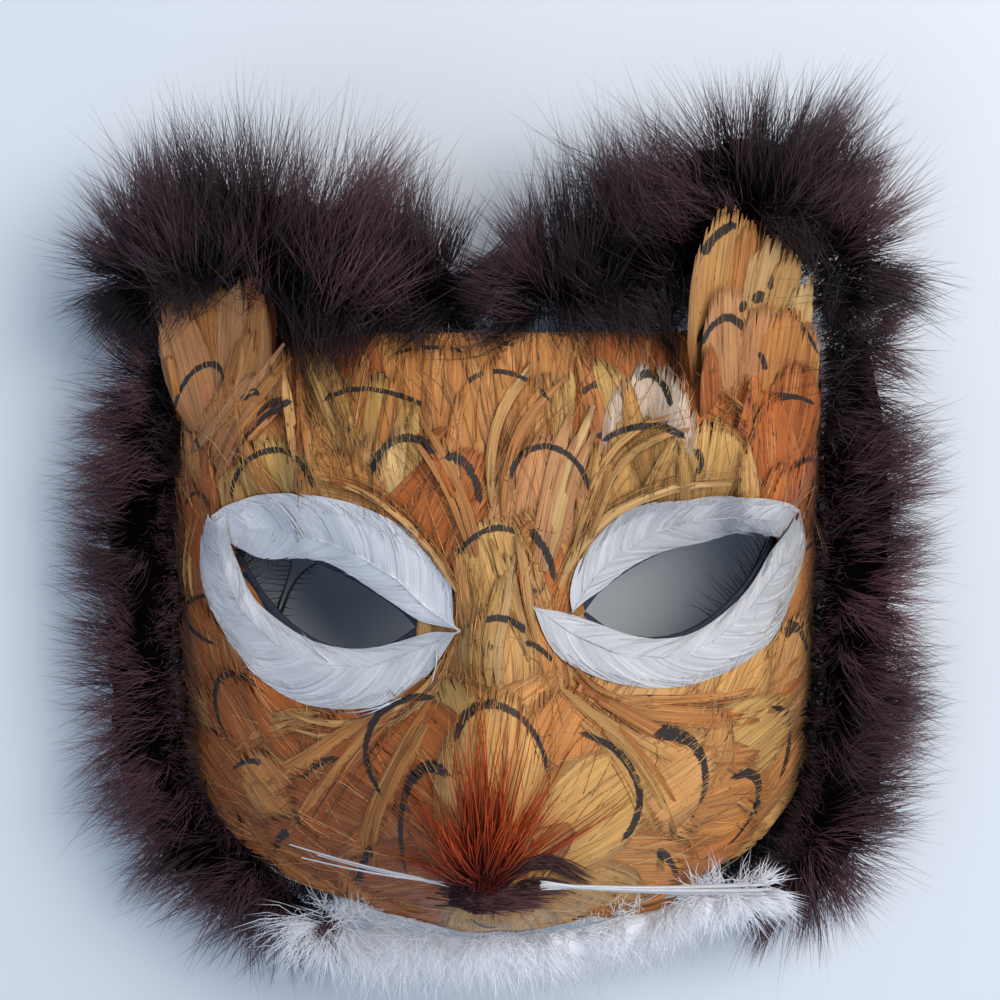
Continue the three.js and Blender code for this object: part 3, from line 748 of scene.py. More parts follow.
class Arc:
    """An arc of ink through three places in the plan, as part of a unit circle of its own."""

    def __init__(self, left, top, right, width, lead):
        chord = right - left
        half = np.hypot(*chord) / 2
        height = abs(chord[0] * (top - left)[1] - chord[1] * (top - left)[0]) / (2 * half)
        height = max(height, 0.4)
        end = radians(80)
        across, tall = half / sin(end), height / (1 - cos(end))
        if height < 0.8 * half:
            across = tall = (half**2 + height**2) / (2 * height)
            end = float(np.arcsin(half / across))
        places = np.array([[*left, 1], [*top, 1], [*right, 1]])
        own = np.array([[-sin(end), cos(end)], [0, 1], [sin(end), cos(end)]])
        self.to_own = np.linalg.solve(places, own)
        self.ends = (-end, end, lead)
        self.half_width = width / 2 / np.sqrt(across * tall)

    def own(self, x, y):
        return np.stack([x, y, np.ones_like(x)], -1) @ self.to_own

    def nearness(self, x, y):
        """How close these places come to the ink, in half-widths."""
        own = self.own(x, y)
        turn = np.arctan2(own[..., 0], own[..., 1])
        beyond = np.maximum(0, np.abs(turn) - self.ends[1])
        gap = np.abs(np.hypot(own[..., 0], own[..., 1]) - 1) + beyond
        return float(gap.min() / self.half_width)


arcs = {}
for name, (left, top, right, width, lead) in ARCS.items():
    arcs[name] = Arc(*(seen_on_face(*pixel) for pixel in (left, top, right)), width, lead)
print(len(arcs), "arcs of ink")


def ink_values(x, y, among):
    """For a feather's corners: the places and ends of the two arcs that come closest."""
    close = sorted((arc for arc in among if arc.nearness(x, y) < 4), key=lambda a: a.nearness(x, y))
    values = {}
    for letter, arc in zip("ab", close[:2] + [None, None]):
        if arc is None:
            place, ends = np.full(x.shape + (3,), 5.0), np.array([0, 1, 0])
        else:
            size = np.full(x.shape + (1,), arc.half_width)
            place, ends = np.concatenate([arc.own(x, y), size], -1), np.array(arc.ends)
        values["ink_" + letter] = place
        values["ink_ends_" + letter] = np.broadcast_to(ends, x.shape + (3,))
    return values


# %% [markdown]
# ## A body feather
#
# A body feather is a shaft with barbs to both sides, which cling together. Smoothed down on
# the mask, they part into narrow straps that lie along the feather. The straps are copies of
# a three-sided fibre: two edges and a faint crown. They lap, so no gap shows, and end at
# slightly different lengths, which gives the vane its streaks and its soft, torn edge.

# %% Where the straps of a vane lie
BROADEST = 87.3
STRAP_WIDTH = 1.5


# the outline's half width and the y of its middle, in mm, and its powers above and below that
OUTLINE_X, OUTLINE_Y, SQUARE, ROUND = 90, -5, 8.0, 3.6


def outline_sum(x, y, above, below):
    """A sum that is 1 on the shell's outline, for its reach above and below, and its power."""
    up = np.asarray(y) > OUTLINE_Y
    power, reach = np.where(up, SQUARE, ROUND), np.where(up, above, below)
    return (np.abs(x) / OUTLINE_X) ** power + (np.abs(y - OUTLINE_Y) / reach) ** power, power


def inside_face(x, y):
    """Places beyond the shell's edge are drawn back to it, as a feather is folded over it."""
    total, power = outline_sum(x, y, 72.0, 76.5)
    size = total ** (1 / power)
    shrink = np.where(size > 1, 1 / np.maximum(size, 1e-6), 1)
    return np.clip(x * shrink, -BROADEST, BROADEST), OUTLINE_Y + (y - OUTLINE_Y) * shrink


def from_tip(tip, heading, length, along, out, side=1):
    """Places along a feather and out from its shaft, in the plan of its tip and heading."""
    way = np.array([cos(radians(heading)), sin(radians(heading))])
    right = side * np.array([way[1], -way[0]])
    place = np.asarray(tip) + (along - length)[..., None] * way + out[..., None] * right
    return place[..., 0], place[..., 1]


def vane_place(t, s, width, length, bow):
    """Along and out from the shaft, at share t of the line that spreads to share s of the vane."""
    along = t * (1 - 0.28 * np.abs(s) ** 2.4)
    spread = np.interp(t, [0, 0.2, 0.5, 0.8, 1], [0.22, 0.55, 0.88, 1.0, 0.93])
    return along * length, s * width / 2 * spread + bow * (along**2 - 1)


def strap_shares(random, fibre, count, first, last):
    """Shares along and across a vane for the crown, right and left corners of its straps."""
    u = np.linspace(0, 1, fibre.levels + 1)[None]
    middle = (np.arange(count)[:, None] + 0.5) * 2 / count - 1
    middle = middle + 0.3 / count * random.normal(size=(count, 1)) * u**2
    half = np.interp(u, [0, 0.75, 0.92, 1], [1.7, 1.6, 1.3, 0.5]) / count
    parted = random.random((count, 1)) < 0.1
    half = half * (1 - 0.45 * parted * smooth(0.5, 0.85, u))
    torn = (random.random((count, 1)) < 0.12) * random.random((count, 1))
    reach = 1 - 0.035 * random.random((count, 1)) - 0.10 * torn
    t = (first[:, None] + (last - first)[:, None] * u) * reach
    s = np.stack([middle, middle + half, middle - half], -1)
    return u, np.broadcast_to(t[..., None], s.shape), s


print("feathers reach", BROADEST, "mm to each side")

# %% [markdown]
# ## Laying a feather
#
# Each feather lies on the bed, cambered over its shaft and curled a little at its tip. Its
# straps are trimmed where they would hang over an eye, and it raises the bed for the next.

# %% Laying a body feather
TRIMMED = 2.8


def open_run(hidden):
    """Where the longest run of open places begins and ends."""
    length, first, start = 1, 0, 0
    for spot, shut in enumerate(np.append(hidden, True)):
        if shut:
            if spot - start > length:
                length, first = spot - start, start
            start = spot + 1
    return first, first + length - 1


def over_openings(x, y, grow):
    hidden = np.zeros(x.shape, bool)
    for opening in EYES.values():
        hidden |= opening.holds(x, y, grow)
    return hidden


def lay_feather(heap, tip, heading, width, length, dye, seed, bow=0.0, loose=10, fibre=STRAP):
    random = np.random.default_rng(seed)

    def plan(along, out):
        return inside_face(*from_tip(tip, heading, length, along, out))

    count = max(4, round(width / STRAP_WIDTH))
    probe = np.linspace(0, 1, 25)
    across = (np.arange(count)[:, None] + 0.5) * 2 / count - 1
    x, y = plan(*vane_place(probe + 0 * across, across + 0 * probe, width, length, bow))
    runs = np.array([open_run(hidden) for hidden in over_openings(x, y, TRIMMED)])
    u, t, s = strap_shares(random, fibre, count, probe[runs[:, 0]], probe[runs[:, 1]])
    along, out = vane_place(t, s, width, length, bow)
    x, y = plan(along, out)
    keep = (runs[:, 1] - runs[:, 0] > 4) & ~(np.abs(x) > BROADEST - 0.01).all((1, 2))
    if not keep.any():
        return
    x, y, along, out, t, s = (value[keep] for value in (x, y, along, out, t, s))
    count = len(x)

    share = along / length
    crowned = np.array([0.02, 0, 0])
    camber = 0.35 * (1 - s**2) * (0.3 + 0.7 * share)
    curl = (0.1 + 0.4 * random.random()) * np.maximum(0, (share - 0.6) / 0.4) ** 2
    uneven = 0.08 * (random.random((count, 1, 1)) - 0.5) * u[..., None]
    lift = bed.rest(x, y) + 0.07 + camber + curl + uneven + crowned
    points = on_face(x, y, lift).reshape(count, -1, 3)
    bed.lay(x, y, lift + 0.03)

    dyes, barbs, edge = strap_values(random, t, s, along, width, dye, seed)
    ink = ink_values(x.reshape(count, -1), y.reshape(count, -1), arcs.values())
    heap.add(fibre, points, dye=dyes, barbs=barbs, edge=edge, **ink)
    add_hairs(heap, plan, random, width, length, bow, dye, loose, seed)


print("straps are trimmed", TRIMMED, "mm beyond an opening")

# %% [markdown]
# ## What a vane's finish reads
#
# The finish needs the dye at each corner, with painted shade on it: darker at the root,
# where other feathers cover it, and a little darker at the sides. The dye is warmer under
# other feathers. It also needs the place along and across the barbs for the streaks, and how
# near the frayed edge is.

# %% The values of a vane's straps
WARM = colour(178, 96, 44)


def strap_values(random, t, s, along, width, dye, seed):
    """What the finish reads on a vane: its dye with painted shade, where its streaks run and how near its
    edge is.
    """
    count = len(t)
    streak = 1 + 0.09 * (random.random((count, 1, 1)) - 0.5)
    # painted shade: the root darker, where other feathers cover it, and the sides a little darker, where
    # creases fall
    shade = streak * (0.66 + 0.38 * smooth(0.0, 0.7, t)) * (1 - 0.12 * smooth(0.6, 1, np.abs(s)))
    warm = 0.12 * random.random((count, 1, 1)) + 0.25 * random.random() + 0.35 * (1 - smooth(0, 0.7, t))
    mixed = dye * (1 - warm[..., None]) + WARM * warm[..., None]
    dyes = shade[..., None] * mixed
    barbs = np.stack([s * width / 2, along, np.full(s.shape, seed * 7.31 % 97)], -1)
    edge = np.maximum(smooth(0.72, 1.04, np.abs(s)), smooth(0.86, 1.0, t))
    return dyes.reshape(count, -1, 3), barbs.reshape(count, -1, 3), edge.reshape(count, -1)


print("deep in the coat a dye turns to", np.round(WARM, 3))

# %% [markdown]
# ## Loose barbs
#
# A few barbs leave every vane, and short ones fray its tip. Where the light catches one it
# looks brighter than the vane, and in shadow darker, so both kinds are laid, with that light
# and shadow painted into their colour.

# %% The loose barbs of a feather
def add_hairs(heap, plan, random, width, length, bow, dye, loose, seed):
    """The loose barbs of a feather, and the short ones that fray its tip, as pointed fibres."""
    groups = []
    u = np.linspace(0, 1, BARB.levels + 1)
    # the barbs' dye is painted darker and brighter: painted shade and painted highlights
    for painted_light_factor, share in ((0.55, 0.25), (1.35, 0.75)):
        hairs = []
        for _ in range(round(loose * share)):
            s = random.choice([-1, 1]) * (0.2 + 0.75 * random.random())
            begin = 0.25 + 0.5 * random.random()
            far = min(begin + 0.25 + 0.35 * random.random(), 1.12)
            along, out = vane_place(begin + (far - begin) * u, s * (1 + 0.1 * u), width, length, bow)
            out = out + 2.5 * random.normal() * u**2
            rise = 0.12 + (0.1 + 0.5 * random.random()) * u**2
            hairs.append((along, out, rise, 0.085 - 0.045 * u))
        groups.append((BARB, hairs, painted_light_factor))
    u = np.linspace(0, 1, DOWN.levels + 1)
    frays = []
    for _ in range(round(0.55 * width)):
        s = 1.9 * random.random() - 0.95
        begin, far = 0.84 + 0.08 * random.random(), 1.01 + 0.07 * random.random()
        along, out = vane_place(begin + (far - begin) * u, s + 0 * u, width, length, bow)
        out = out + 0.6 * random.normal() * u
        frays.append((along, out, 0.05 + 0.3 * random.random() * u, 0.13 - 0.1 * u))
    groups.append((DOWN, frays, 1.0))
    for fibre, lines, painted_light_factor in groups:
        if not lines:
            continue
        along, out, rise, radius = (np.array(v) for v in zip(*lines))
        x, y = plan(along, out)
        keep = ~over_openings(x, y, 2.0).any(1)
        if not keep.any():
            continue
        points = on_face(x[keep], y[keep], bed.rest(x[keep], y[keep]) + rise[keep])
        add_plain(heap, fibre, points, radius[keep], np.minimum(dye * painted_light_factor, 0.9), seed)


def add_barbs(heap, fibre, lines, radii, dye, grain, **values):
    """Pointed fibres with the attributes of a vane; grain sets their streaks apart."""
    gathered = Heap()
    strands(gathered, fibre, lines, radii)
    points = gathered.points[0].reshape(len(lines), -1, 3)
    barbs = np.concatenate([points[..., :2] * 0.4, np.full(points.shape[:2] + (1,), grain)], -1)
    heap.add(fibre, points, dye=np.broadcast_to(dye, points.shape), barbs=barbs, **values)


FAR, WHOLE = [[[5, 5, 5]]], [[[0, 1, 0]]]
NO_INK = {"ink_a": FAR, "ink_b": FAR, "ink_ends_a": WHOLE, "ink_ends_b": WHOLE}


def add_plain(heap, fibre, lines, radii, dye, seed):
    """Barbs of the coat, free of ink."""
    add_barbs(heap, fibre, lines, radii, dye, seed % 89, edge=[[0]], **NO_INK)


print("a barb has", BARB.levels, "levels, a strap", STRAP.levels)


# %% [markdown]
# ## Dyes
#
# All the body feathers come from one dye bath, but they came out of it from olive gold to
# deep orange. The colours are as a screen would show them in full light, but the darker ones
# given to the left side, shade among them, are partly painted shade.

# %% The dyes
DYES = {
    "gold": colour(206, 159, 90),
    "orange": colour(196, 131, 64),
    "deep": colour(176, 93, 30),
    "rust": colour(152, 75, 20),
    "olive": colour(188, 150, 80),
    "pale": colour(216, 178, 114),
    "tan": colour(202, 147, 94),
    "cream": colour(214, 204, 184),
    "shade": colour(160, 84, 28),
}
print(len(DYES), "dyes")

# %% [markdown]
# ## Ears
#
# An ear is a cupped leaf of card with feathers laid up its front, as on the face but on a
# plane of its own: across the ear and up it. The back has plain feathers.

# %% An ear's own plane
EAR_LEAF = ([0, 0.25, 0.5, 0.7, 0.88, 1], [0.9, 0.98, 1, 0.84, 0.48, 0.14])
EARS = {
    "left_ear": ((-67, 49, 37), (-67, 87, 41), (0.87, 0, 0.49), 37),
    "right_ear": ((64, 49, 38), (63, 97, 46), (0.87, 0, -0.49), 39),
}


class EarPlane:
    def __init__(self, foot, tip, side, width):
        self.foot, self.side, self.width = np.array(foot, float), unit(np.array(side, float)), width
        rise = np.subtract(tip, foot).astype(float)
        self.length = np.linalg.norm(rise)
        self.up = rise / self.length
        self.front = unit(np.cross(self.side, self.up))

    def half(self, v):
        return self.width / 2 * np.interp(v / self.length, *EAR_LEAF)

    def at(self, u, v, lift):
        """A place u across and v up the ear, in mm, at a lift off its cupped front."""
        cup = 5 * (2 * u / self.width) ** 2
        return (self.foot + u[..., None] * self.side + v[..., None] * self.up
                + (cup + lift)[..., None] * self.front)

    def behind(self, points):
        """Where places fall on the ear's plane as the camera sees them, across and up."""
        way = points - EYE
        distance = np.dot(self.foot - EYE, self.front) / (way @ self.front)
        from_foot = EYE + way * distance[..., None] - self.foot
        return from_foot @ self.side, from_foot @ self.up

    def seen(self, px, py):
        """Where a pixel of the photograph falls on the ear's plane."""
        return np.array(self.behind((EYE + ray(px, py))[None]))[:, 0]


print("ears", [round(float(EarPlane(*plan).length), 1) for plan in EARS.values()], "mm long")

# %% [markdown]
# ## A feather on an ear
#
# It is made like a feather of the coat, but on the ear's plane, where each layer lies a set
# height above the one before. The lowest ones raise the bed, so that the coat lies on them.

# %% Laying a feather on an ear
LAYER = 0.4


def lay_ear_feather(heap, plane, feather, dye, level, seed, arcs_here=(), back=False):
    tip, heading, width, length = feather
    random = np.random.default_rng(seed)
    facing = -1 if back else 1
    count = max(4, round(width / STRAP_WIDTH))
    _, t, s = strap_shares(random, STRAP, count, np.zeros(count), np.ones(count))
    along, out = vane_place(t, s, width, length, 0)
    u, v = from_tip(tip, heading, length, along, out, facing)
    bulge = 0.7 * (1 - s**2) + 0.8 * np.maximum(0, along / length - 0.6) ** 2
    lift = facing * (level * LAYER + 0.1 + bulge + np.array([0.07, 0, 0])) - (2.4 if back else 0)
    points = plane.at(u, v, lift).reshape(count, -1, 3)
    dyes, barbs, edge = strap_values(random, t, s, along, width, dye, seed)
    ink = ink_values(u.reshape(count, -1), v.reshape(count, -1), arcs_here)
    heap.add(STRAP, points, dye=dyes, barbs=barbs, edge=edge, **ink)
    if back:
        return
    rest_bed_on(points, v)
    hair = np.linspace(0, 1, BARB.levels + 1)[None]
    begin, s = 0.3 + 0.4 * random.random((8, 1)), 1.8 * random.random((8, 1)) - 0.9
    t = begin + (0.3 + 0.35 * random.random((8, 1))) * hair
    along, out = vane_place(t, s + 0 * hair, width, length, 0)
    u, v = from_tip(tip, heading, length, along, out)
    lines = plane.at(u, v, level * LAYER + 0.9 + hair)
    # the ear's loose barbs are painted brighter: a painted highlight
    add_plain(heap, BARB, lines, 0.09 - 0.05 * hair, np.minimum(dye * 1.3, 0.9), seed)


def rest_bed_on(points, v):
    """Lets the coat's feathers lie on the lower part of an ear."""
    x, y, z = (points[..., i].reshape(v.shape) for i in range(3))
    top = (z - face_height(x, y)) / steepness(x, y)
    low = (v < 17).all((1, 2)) & (np.abs(x) < BROADEST).all((1, 2))
    if low.any():
        bed.lay(x[low], y[low], np.clip(top[low], 0, 9))


print("layers on an ear lie", LAYER, "mm apart")

# %% [markdown]
# ## Black arcs on the ears
#
# The arcs on an ear are placed by pixels too, carried to the ear's plane and not the face.

# %% The ears' arcs, by pixels of the photograph
EAR_ARCS = {
    "right_ear": [
        ((703, 257), (722, 238), (747, 224), 2.6, -0.2),
        ((773, 250), (776, 267), (775, 285), 1.4, 0.0),
        ((687, 346), (716, 319), (741, 328), 2.0, 0.0),
        ((757, 298), (785, 301), (808, 342), 1.7, -0.6),
        ((741, 311), (746, 300), (757, 296), 2.4, 0.0),
        ((743, 328), (749, 333), (752, 341), 1.7, 0.0),
        ((754, 350), (758, 357), (759, 366), 1.5, 0.0),
        ((757, 400), (774, 389), (797, 392), 1.9, -0.7),
    ],
    "left_ear": [ARCS["temple_left_" + number] for number in "1243"],
}
planes = {name: EarPlane(*plan) for name, plan in EARS.items()}
right_plane = planes["right_ear"]
ear_arcs = {
    name: [Arc(*(planes[name].seen(*pixel) for pixel in line[:3]), *line[3:]) for line in lines]
    for name, lines in EAR_ARCS.items()
}
print({name: len(lines) for name, lines in ear_arcs.items()}, "arcs on the ears")

# %% [markdown]
# ## The ears' feathers and card
#
# A leaf of card, cut from a grid, carries each ear. Eleven feathers on the right ear and
# seven on the left lie up its front, the tallest first, and three plain ones cover its back.

# %% The ears' feathers, from the lowest layer to the highest
# tip across and up the ear, heading, width, length, dye
EAR_FEATHERS = {
    "right_ear": [
        ((-7, 50), 80, 28, 54, "gold"),
        ((-2, 47), 82, 12, 46, "orange"),
        ((5, 43), 76, 15, 46, "pale"),
        ((10, 39), 74, 12, 44, "gold"),
        ((13, 33), 80, 9, 42, "pale"),
        ((14, 22), 86, 8, 36, "orange"),
        ((-12, 32), 94, 22, 46, "tan"),
        ((1, 27), 84, 16, 42, "tan"),
        ((8, 26), 82, 16, 42, "orange"),
        ((-20, 18), 98, 10, 34, "deep"),
        ((10, 12), 84, 15, 32, "deep"),
    ],
    "left_ear": [
        ((-12, 34), 100, 15, 50, "orange"),
        ((10, 34), 74, 17, 48, "deep"),
        ((-4, 36), 94, 16, 48, "orange"),
        ((4, 33), 84, 14, 46, "tan"),
        ((-14, 26), 102, 13, 40, "tan"),
        ((14, 30), 80, 12, 46, "orange"),
        ((11, 20), 66, 11, 36, "orange"),
    ],
}
# the ears' feathers take the coat's dyes painted darker: a painted shade
EAR_PAINTED_SHADE = 0.82


# the card's thickness in mm, its share of the feathered leaf's length and width, its shift in mm
CARD, CARD_LENGTH, CARD_WIDTH, CARD_SHIFT = 2.2, 0.78, 0.76, 1.5


def ear_card(plane, name):
    """The cupped leaf: a grid drawn in to the leaf's outline and given the card's thickness."""
    add = bpy.ops.mesh.primitive_grid_add
    card = primitive(add, name, x_subdivisions=14, y_subdivisions=20, size=2)
    flat = corners_of(card)
    v = (flat[:, 1] + 1) / 2 * plane.length * CARD_LENGTH
    u = flat[:, 0] * plane.half(v) * CARD_WIDTH - CARD_SHIFT
    move_corners(card, plane.at(u, v, 0 * u))
    thickness = card.modifiers.new("card", "SOLIDIFY")
    thickness.thickness, thickness.offset = CARD * MM, -1
    bpy.ops.object.modifier_apply(modifier=thickness.name)
    bpy.ops.object.shade_smooth()
    return card


ear_card_finish = mottled(
    "ear_card", {"Roughness": 0.85}, rgba(120, 74, 40), rgba(164, 108, 60),
    scale=700, detail=4, roughness=0.7, bump=(0.0004, 0.6),
)
for name, plane in planes.items():
    heap = Heap()
    for level, (*feather, dye) in enumerate(EAR_FEATHERS[name]):
        shade = EAR_PAINTED_SHADE * DYES[dye]
        lay_ear_feather(heap, plane, feather, shade, level, 400 + level, ear_arcs[name])
    for level, across in enumerate((-7, 7, 0)):
        tip = (across, plane.length * (0.96 if across else 0.8))
        feather = tip, 90 - across, 20, plane.length
        lay_ear_feather(heap, plane, feather, DYES["deep"], level, 430 + level, back=True)
    piece_of(heap, name + "_feathers", dyed, "orange_feather", name, sharp=50)
    finish_piece(ear_card(plane, name + "_card"), ear_card_finish, [])
    print(name, pieces[name + "_feathers"], "triangles")

# %% [markdown]
# ## The coat
#
# The coat has one big feather for each one that stands out in the photograph, at the places
# and headings of the part's source, and smaller ones tucked in between them. It is laid
# from the rim inwards, so the feathers nearest the nose come last and lie on top.

# %% The feathers of the coat: node, tip, heading, width, length, dye
COAT = [
    ("nose_feather", (2, -15), 80, 26, 51, "gold"),
    ("bridge_feather_lower", (-1, 4), 92, 20, 34, "gold"),
    ("bridge_feather_upper", (-3, 24), 102, 20, 34, "gold"),
    ("bridge_feather_side", (14, 19), 66, 13, 29, "deep"),
    ("muzzle_feather_left", (-23, -38), 150, 26, 37, "rust"),
    ("under_eye_feathers_left", (-15, -14), 118, 20, 34, "olive"),
    ("under_eye_feathers_left", (-37, -20), 128, 28, 32, "deep"),
    ("under_eye_feathers_left", (-59, -12), 128, 30, 38, "deep"),
    ("under_eye_feathers_right", (24, -18), 50, 22, 38, "orange"),
    ("under_eye_feathers_right", (47, -18), 58, 30, 34, "gold"),
    ("under_eye_feathers_right", (67, -8), 60, 26, 40, "gold"),
    ("lip_feather_left", (-37, -73), 205, 21, 39, "rust"),
    ("lip_feather_right", (50, -73), 337, 25, 45, "orange"),
    ("cheek_feather_left_1", (-32, -25), 150, 28, 39, "deep"),
    ("cheek_feather_left_2", (-54, -47), 168, 28, 41, "rust"),
    ("cheek_feather_left_3", (-66, -41), 130, 17, 34, "orange"),
    ("cheek_feather_left_4", (-62, -62), 165, 18, 37, "rust"),
    ("cheek_feather_right_1", (38, -40), 24, 30, 44, "gold"),
    ("cheek_feather_right_2", (56, -37), 24, 30, 46, "gold"),
    ("cheek_feather_right_3", (79, -34), 24, 28, 46, "gold"),
    ("cheek_feather_right_4", (73, -55), 358, 24, 41, "orange"),
    # the feathers of the left side and left temple take shade, a deep dye that is partly painted shade
    ("side_feather_left_1", (-82, -4), 104, 17, 37, "shade"),
    ("side_feather_left_2", (-75, -22), 130, 21, 39, "shade"),
    ("side_feather_left_3", (-80, -40), 138, 16, 34, "shade"),
    ("side_feather_right_1", (83, 12), 80, 13, 32, "orange"),
    ("side_feather_right_2", (81, -9), 66, 17, 34, "gold"),
    ("temple_feather_left_1", (-77, 61), 105, 18, 39, "orange"),
    ("temple_feather_left_2", (-61, 49), 128, 15, 41, "orange"),
    ("temple_feather_left_2", (-53, 62), 54, 7, 38, "tan"),
    ("temple_feather_left_3", (-79, 43), 90, 15, 34, "shade"),
    ("temple_feather_left_4", (-79, 28), 90, 15, 37, "shade"),
    ("temple_feather_right_1", (72, 53), 92, 21, 37, "deep"),
    ("temple_feather_right_2", (79, 36), 84, 17, 34, "deep"),
    ("brow_feather_1", (-57, 42), 102, 25, 39, "olive"),
    ("brow_feather_2", (-39, 40), 96, 23, 37, "orange"),
    ("brow_feather_3", (-21, 46), 96, 21, 39, "pale"),
    ("brow_feather_4", (-5, 40), 62, 18, 37, "deep"),
    ("brow_feather_5", (13, 44), 81, 23, 44, "tan"),
    ("brow_feather_6", (34, 48), 95, 24, 39, "olive"),
    ("brow_feather_7", (53, 47), 80, 22, 34, "gold"),
    ("crown_feather_1", (-49, 65), 97, 21, 37, "olive"),
    ("crown_feather_2", (-31, 58), 87, 29, 44, "olive"),
    ("crown_feather_3", (-16, 66), 93, 22, 37, "orange"),
    ("crown_feather_4", (2, 62), 86, 25, 44, "orange"),
    ("crown_feather_5", (22, 62), 98, 21, 37, "olive"),
    ("crown_feather_6", (40, 60), 75, 22, 37, "cream"),
    ("crown_feather_7", (57, 62), 70, 21, 37, "deep"),
    ("crown_fringe", (-41, 72), 92, 22, 36, "deep"),
    ("crown_fringe", (-23, 73), 90, 22, 36, "orange"),
    ("crown_fringe", (-8, 72), 90, 20, 34, "orange"),
    ("crown_fringe", (11, 72), 90, 22, 36, "orange"),
    ("crown_fringe", (31, 72), 88, 22, 36, "deep"),
    ("crown_fringe", (49, 70), 84, 22, 34, "deep"),
    ("lip_fringe", (-28, -92), 235, 30, 40, "deep"),
    ("lip_fringe", (2, -94), 271, 30, 34, "gold"),
    ("lip_fringe", (34, -90), 310, 32, 42, "gold"),
]
print(len(COAT), "big feathers")

# %% [markdown]
# ## Small feathers
#
# Under the big feathers lie small ones that all head away from the nose, a row of longer ones
# covers the sides, and beside each big feather lie two narrower ones and sometimes wisps.
# Their places are drawn at random once, with a fixed seed, and all are sorted so that the
# ones farthest from the nose are laid first.

# %% The small feathers under and between the big ones
NOSE = np.array([0, -60])
scatter = np.random.default_rng(11)


def from_nose(plan):
    return float(np.hypot(*(np.asarray(plan["tip"]) - NOSE)))


def radial(x, y):
    """The heading away from the nose, which turns upwards along the sides of the face."""
    return degrees(atan2((y + 60) * 1.6 + 6, x)) if y > -62 else degrees(atan2(y + 60, x * 1.4))


def on_shell(x, y):
    return outline_sum(x, y, 70.0, 76.0)[0] < 1


DARK_WITH_PAINTED_SHADE = ("deep", "rust", "orange")
plans = []
for y in np.arange(-76, 76, 10.5):
    for turn in np.arange(-78, 79, 10.5):
        tip = np.array([86 * sin(radians(turn)), y]) + 2.5 * scatter.normal(size=2)
        if not on_shell(*tip):
            continue
        # low on the left the small feathers take darker dyes: partly their own colour, partly painted shade
        choice = DARK_WITH_PAINTED_SHADE if tip[0] < -15 and tip[1] < 0 else ("gold", "orange", "olive")
        dye = DYES[choice[scatter.integers(3)]]
        heading = radial(*tip) + 9 * scatter.normal()
        plans.append(dict(
            node="under", tip=tip, heading=heading, width=15, length=27,
            dye=dye * (0.8 + 0.15 * scatter.random()), loose=4, fibre=SMALL_STRAP, late=-30,
        ))
for y in np.arange(-62, 60, 6.5):
    for side in (-1, 1):
        # the left row takes darker dyes: partly its own colour, partly painted shade
        choice = ("gold", "orange", "pale") if side > 0 else DARK_WITH_PAINTED_SHADE
        dye = DYES[choice[scatter.integers(3)]]
        tip = np.array([87.2 * side, y + scatter.normal()])
        heading = (30 if side > 0 else 150) + (0 if y > -35 else -35 * side)
        plans.append(dict(
            node="under", tip=tip, heading=heading, width=15, length=34,
            dye=dye * (0.85 + 0.15 * scatter.random()), loose=4, fibre=STRAP, late=-29,
        ))
# laid later than their place calls for, so they lie on top
LATER = {"nose_feather": 40, "crown_feather_6": 12.5}
for node, tip, heading, width, length, dye in COAT:
    tint = DYES[dye] * (0.96 + 0.08 * scatter.random(3))
    bow = 4 * (scatter.random() - 0.5)
    plans.append(dict(
        node=node, tip=np.array(tip), heading=heading, width=width, length=length,
        dye=tint, bow=bow, loose=12, fibre=STRAP, late=LATER.get(node, 0),
    ))
    wisps = ((-1, 9), (1, 9)) if tip[1] > 20 and node != "crown_feather_6" else ()
    for beside, late in ((-1, -12), (1, -12), *wisps):
        narrow = late > 0
        turn = heading + beside * (8 + 12 * scatter.random()) * (0.5 if narrow else 1)
        way = np.array([cos(radians(heading)), sin(radians(heading))])
        across = np.array([way[1], -way[0]])
        shift = beside * 0.40 * width * across + way * (7 * scatter.random() - (9 if narrow else 5))
        other = list(DYES)[scatter.integers(4)]
        own = 0.85 if narrow else 0.6
        mixed = own * DYES[dye] + (1 - own) * DYES[other] if dye != "cream" else DYES["orange"]
        plans.append(dict(
            node=node, tip=np.array(tip) + shift, heading=turn,
            width=3.5 + 2 * scatter.random() if narrow else 0.55 * width,
            length=(0.8 if narrow else 0.9) * length,
            dye=mixed * (0.88 + 0.2 * scatter.random()),
            bow=5 * (scatter.random() - 0.5), loose=6, fibre=SMALL_STRAP, late=late,
        ))
plans.sort(key=lambda plan: plan["late"] - from_nose(plan))
print(len(plans), "feathers in the coat")

# %% [markdown]
# ## Long straps and hairs
#
# Between the feathers run long straps and single barbs that the maker smoothed over them:
# along the rims of the eyes, from the temples up to the ears and from the nose out over the
# cheeks. Each group follows a line through pixels of the photograph and lies on whatever the
# camera sees there, which may be the coat or an ear.

# %% Laying a group of straps and hairs
def seen_on_top(pixels):
    """Places that the camera sees at a row of pixels, a little above the coat and the ears."""
    ways = np.array([ray(*pixel) for pixel in pixels])
    reach = []
    for pixel, way in zip(pixels, ways):
        x, y = (np.array([value]) for value in seen_on_face(*pixel))
        place = on_face(x, y, bed.rest(x, y) + 0.35)[0]
        nearest = (place - EYE) @ way / (way @ way)
        for plane in planes.values():
            u, v = (np.array([value]) for value in plane.seen(*pixel))
            if 0 < v[0] < plane.length and abs(u[0]) < plane.half(v[0]) + 1:
                place = plane.at(u, v, 5.4 + 0 * u)[0]
                nearest = min(nearest, (place - EYE) @ way / (way @ way))
        reach.append(nearest)
    padded = np.pad(reach, 1, mode="edge")
    reach = np.minimum(reach, (padded[:-2] + padded[2:]) / 2)
    return EYE + ways * reach[:, None]


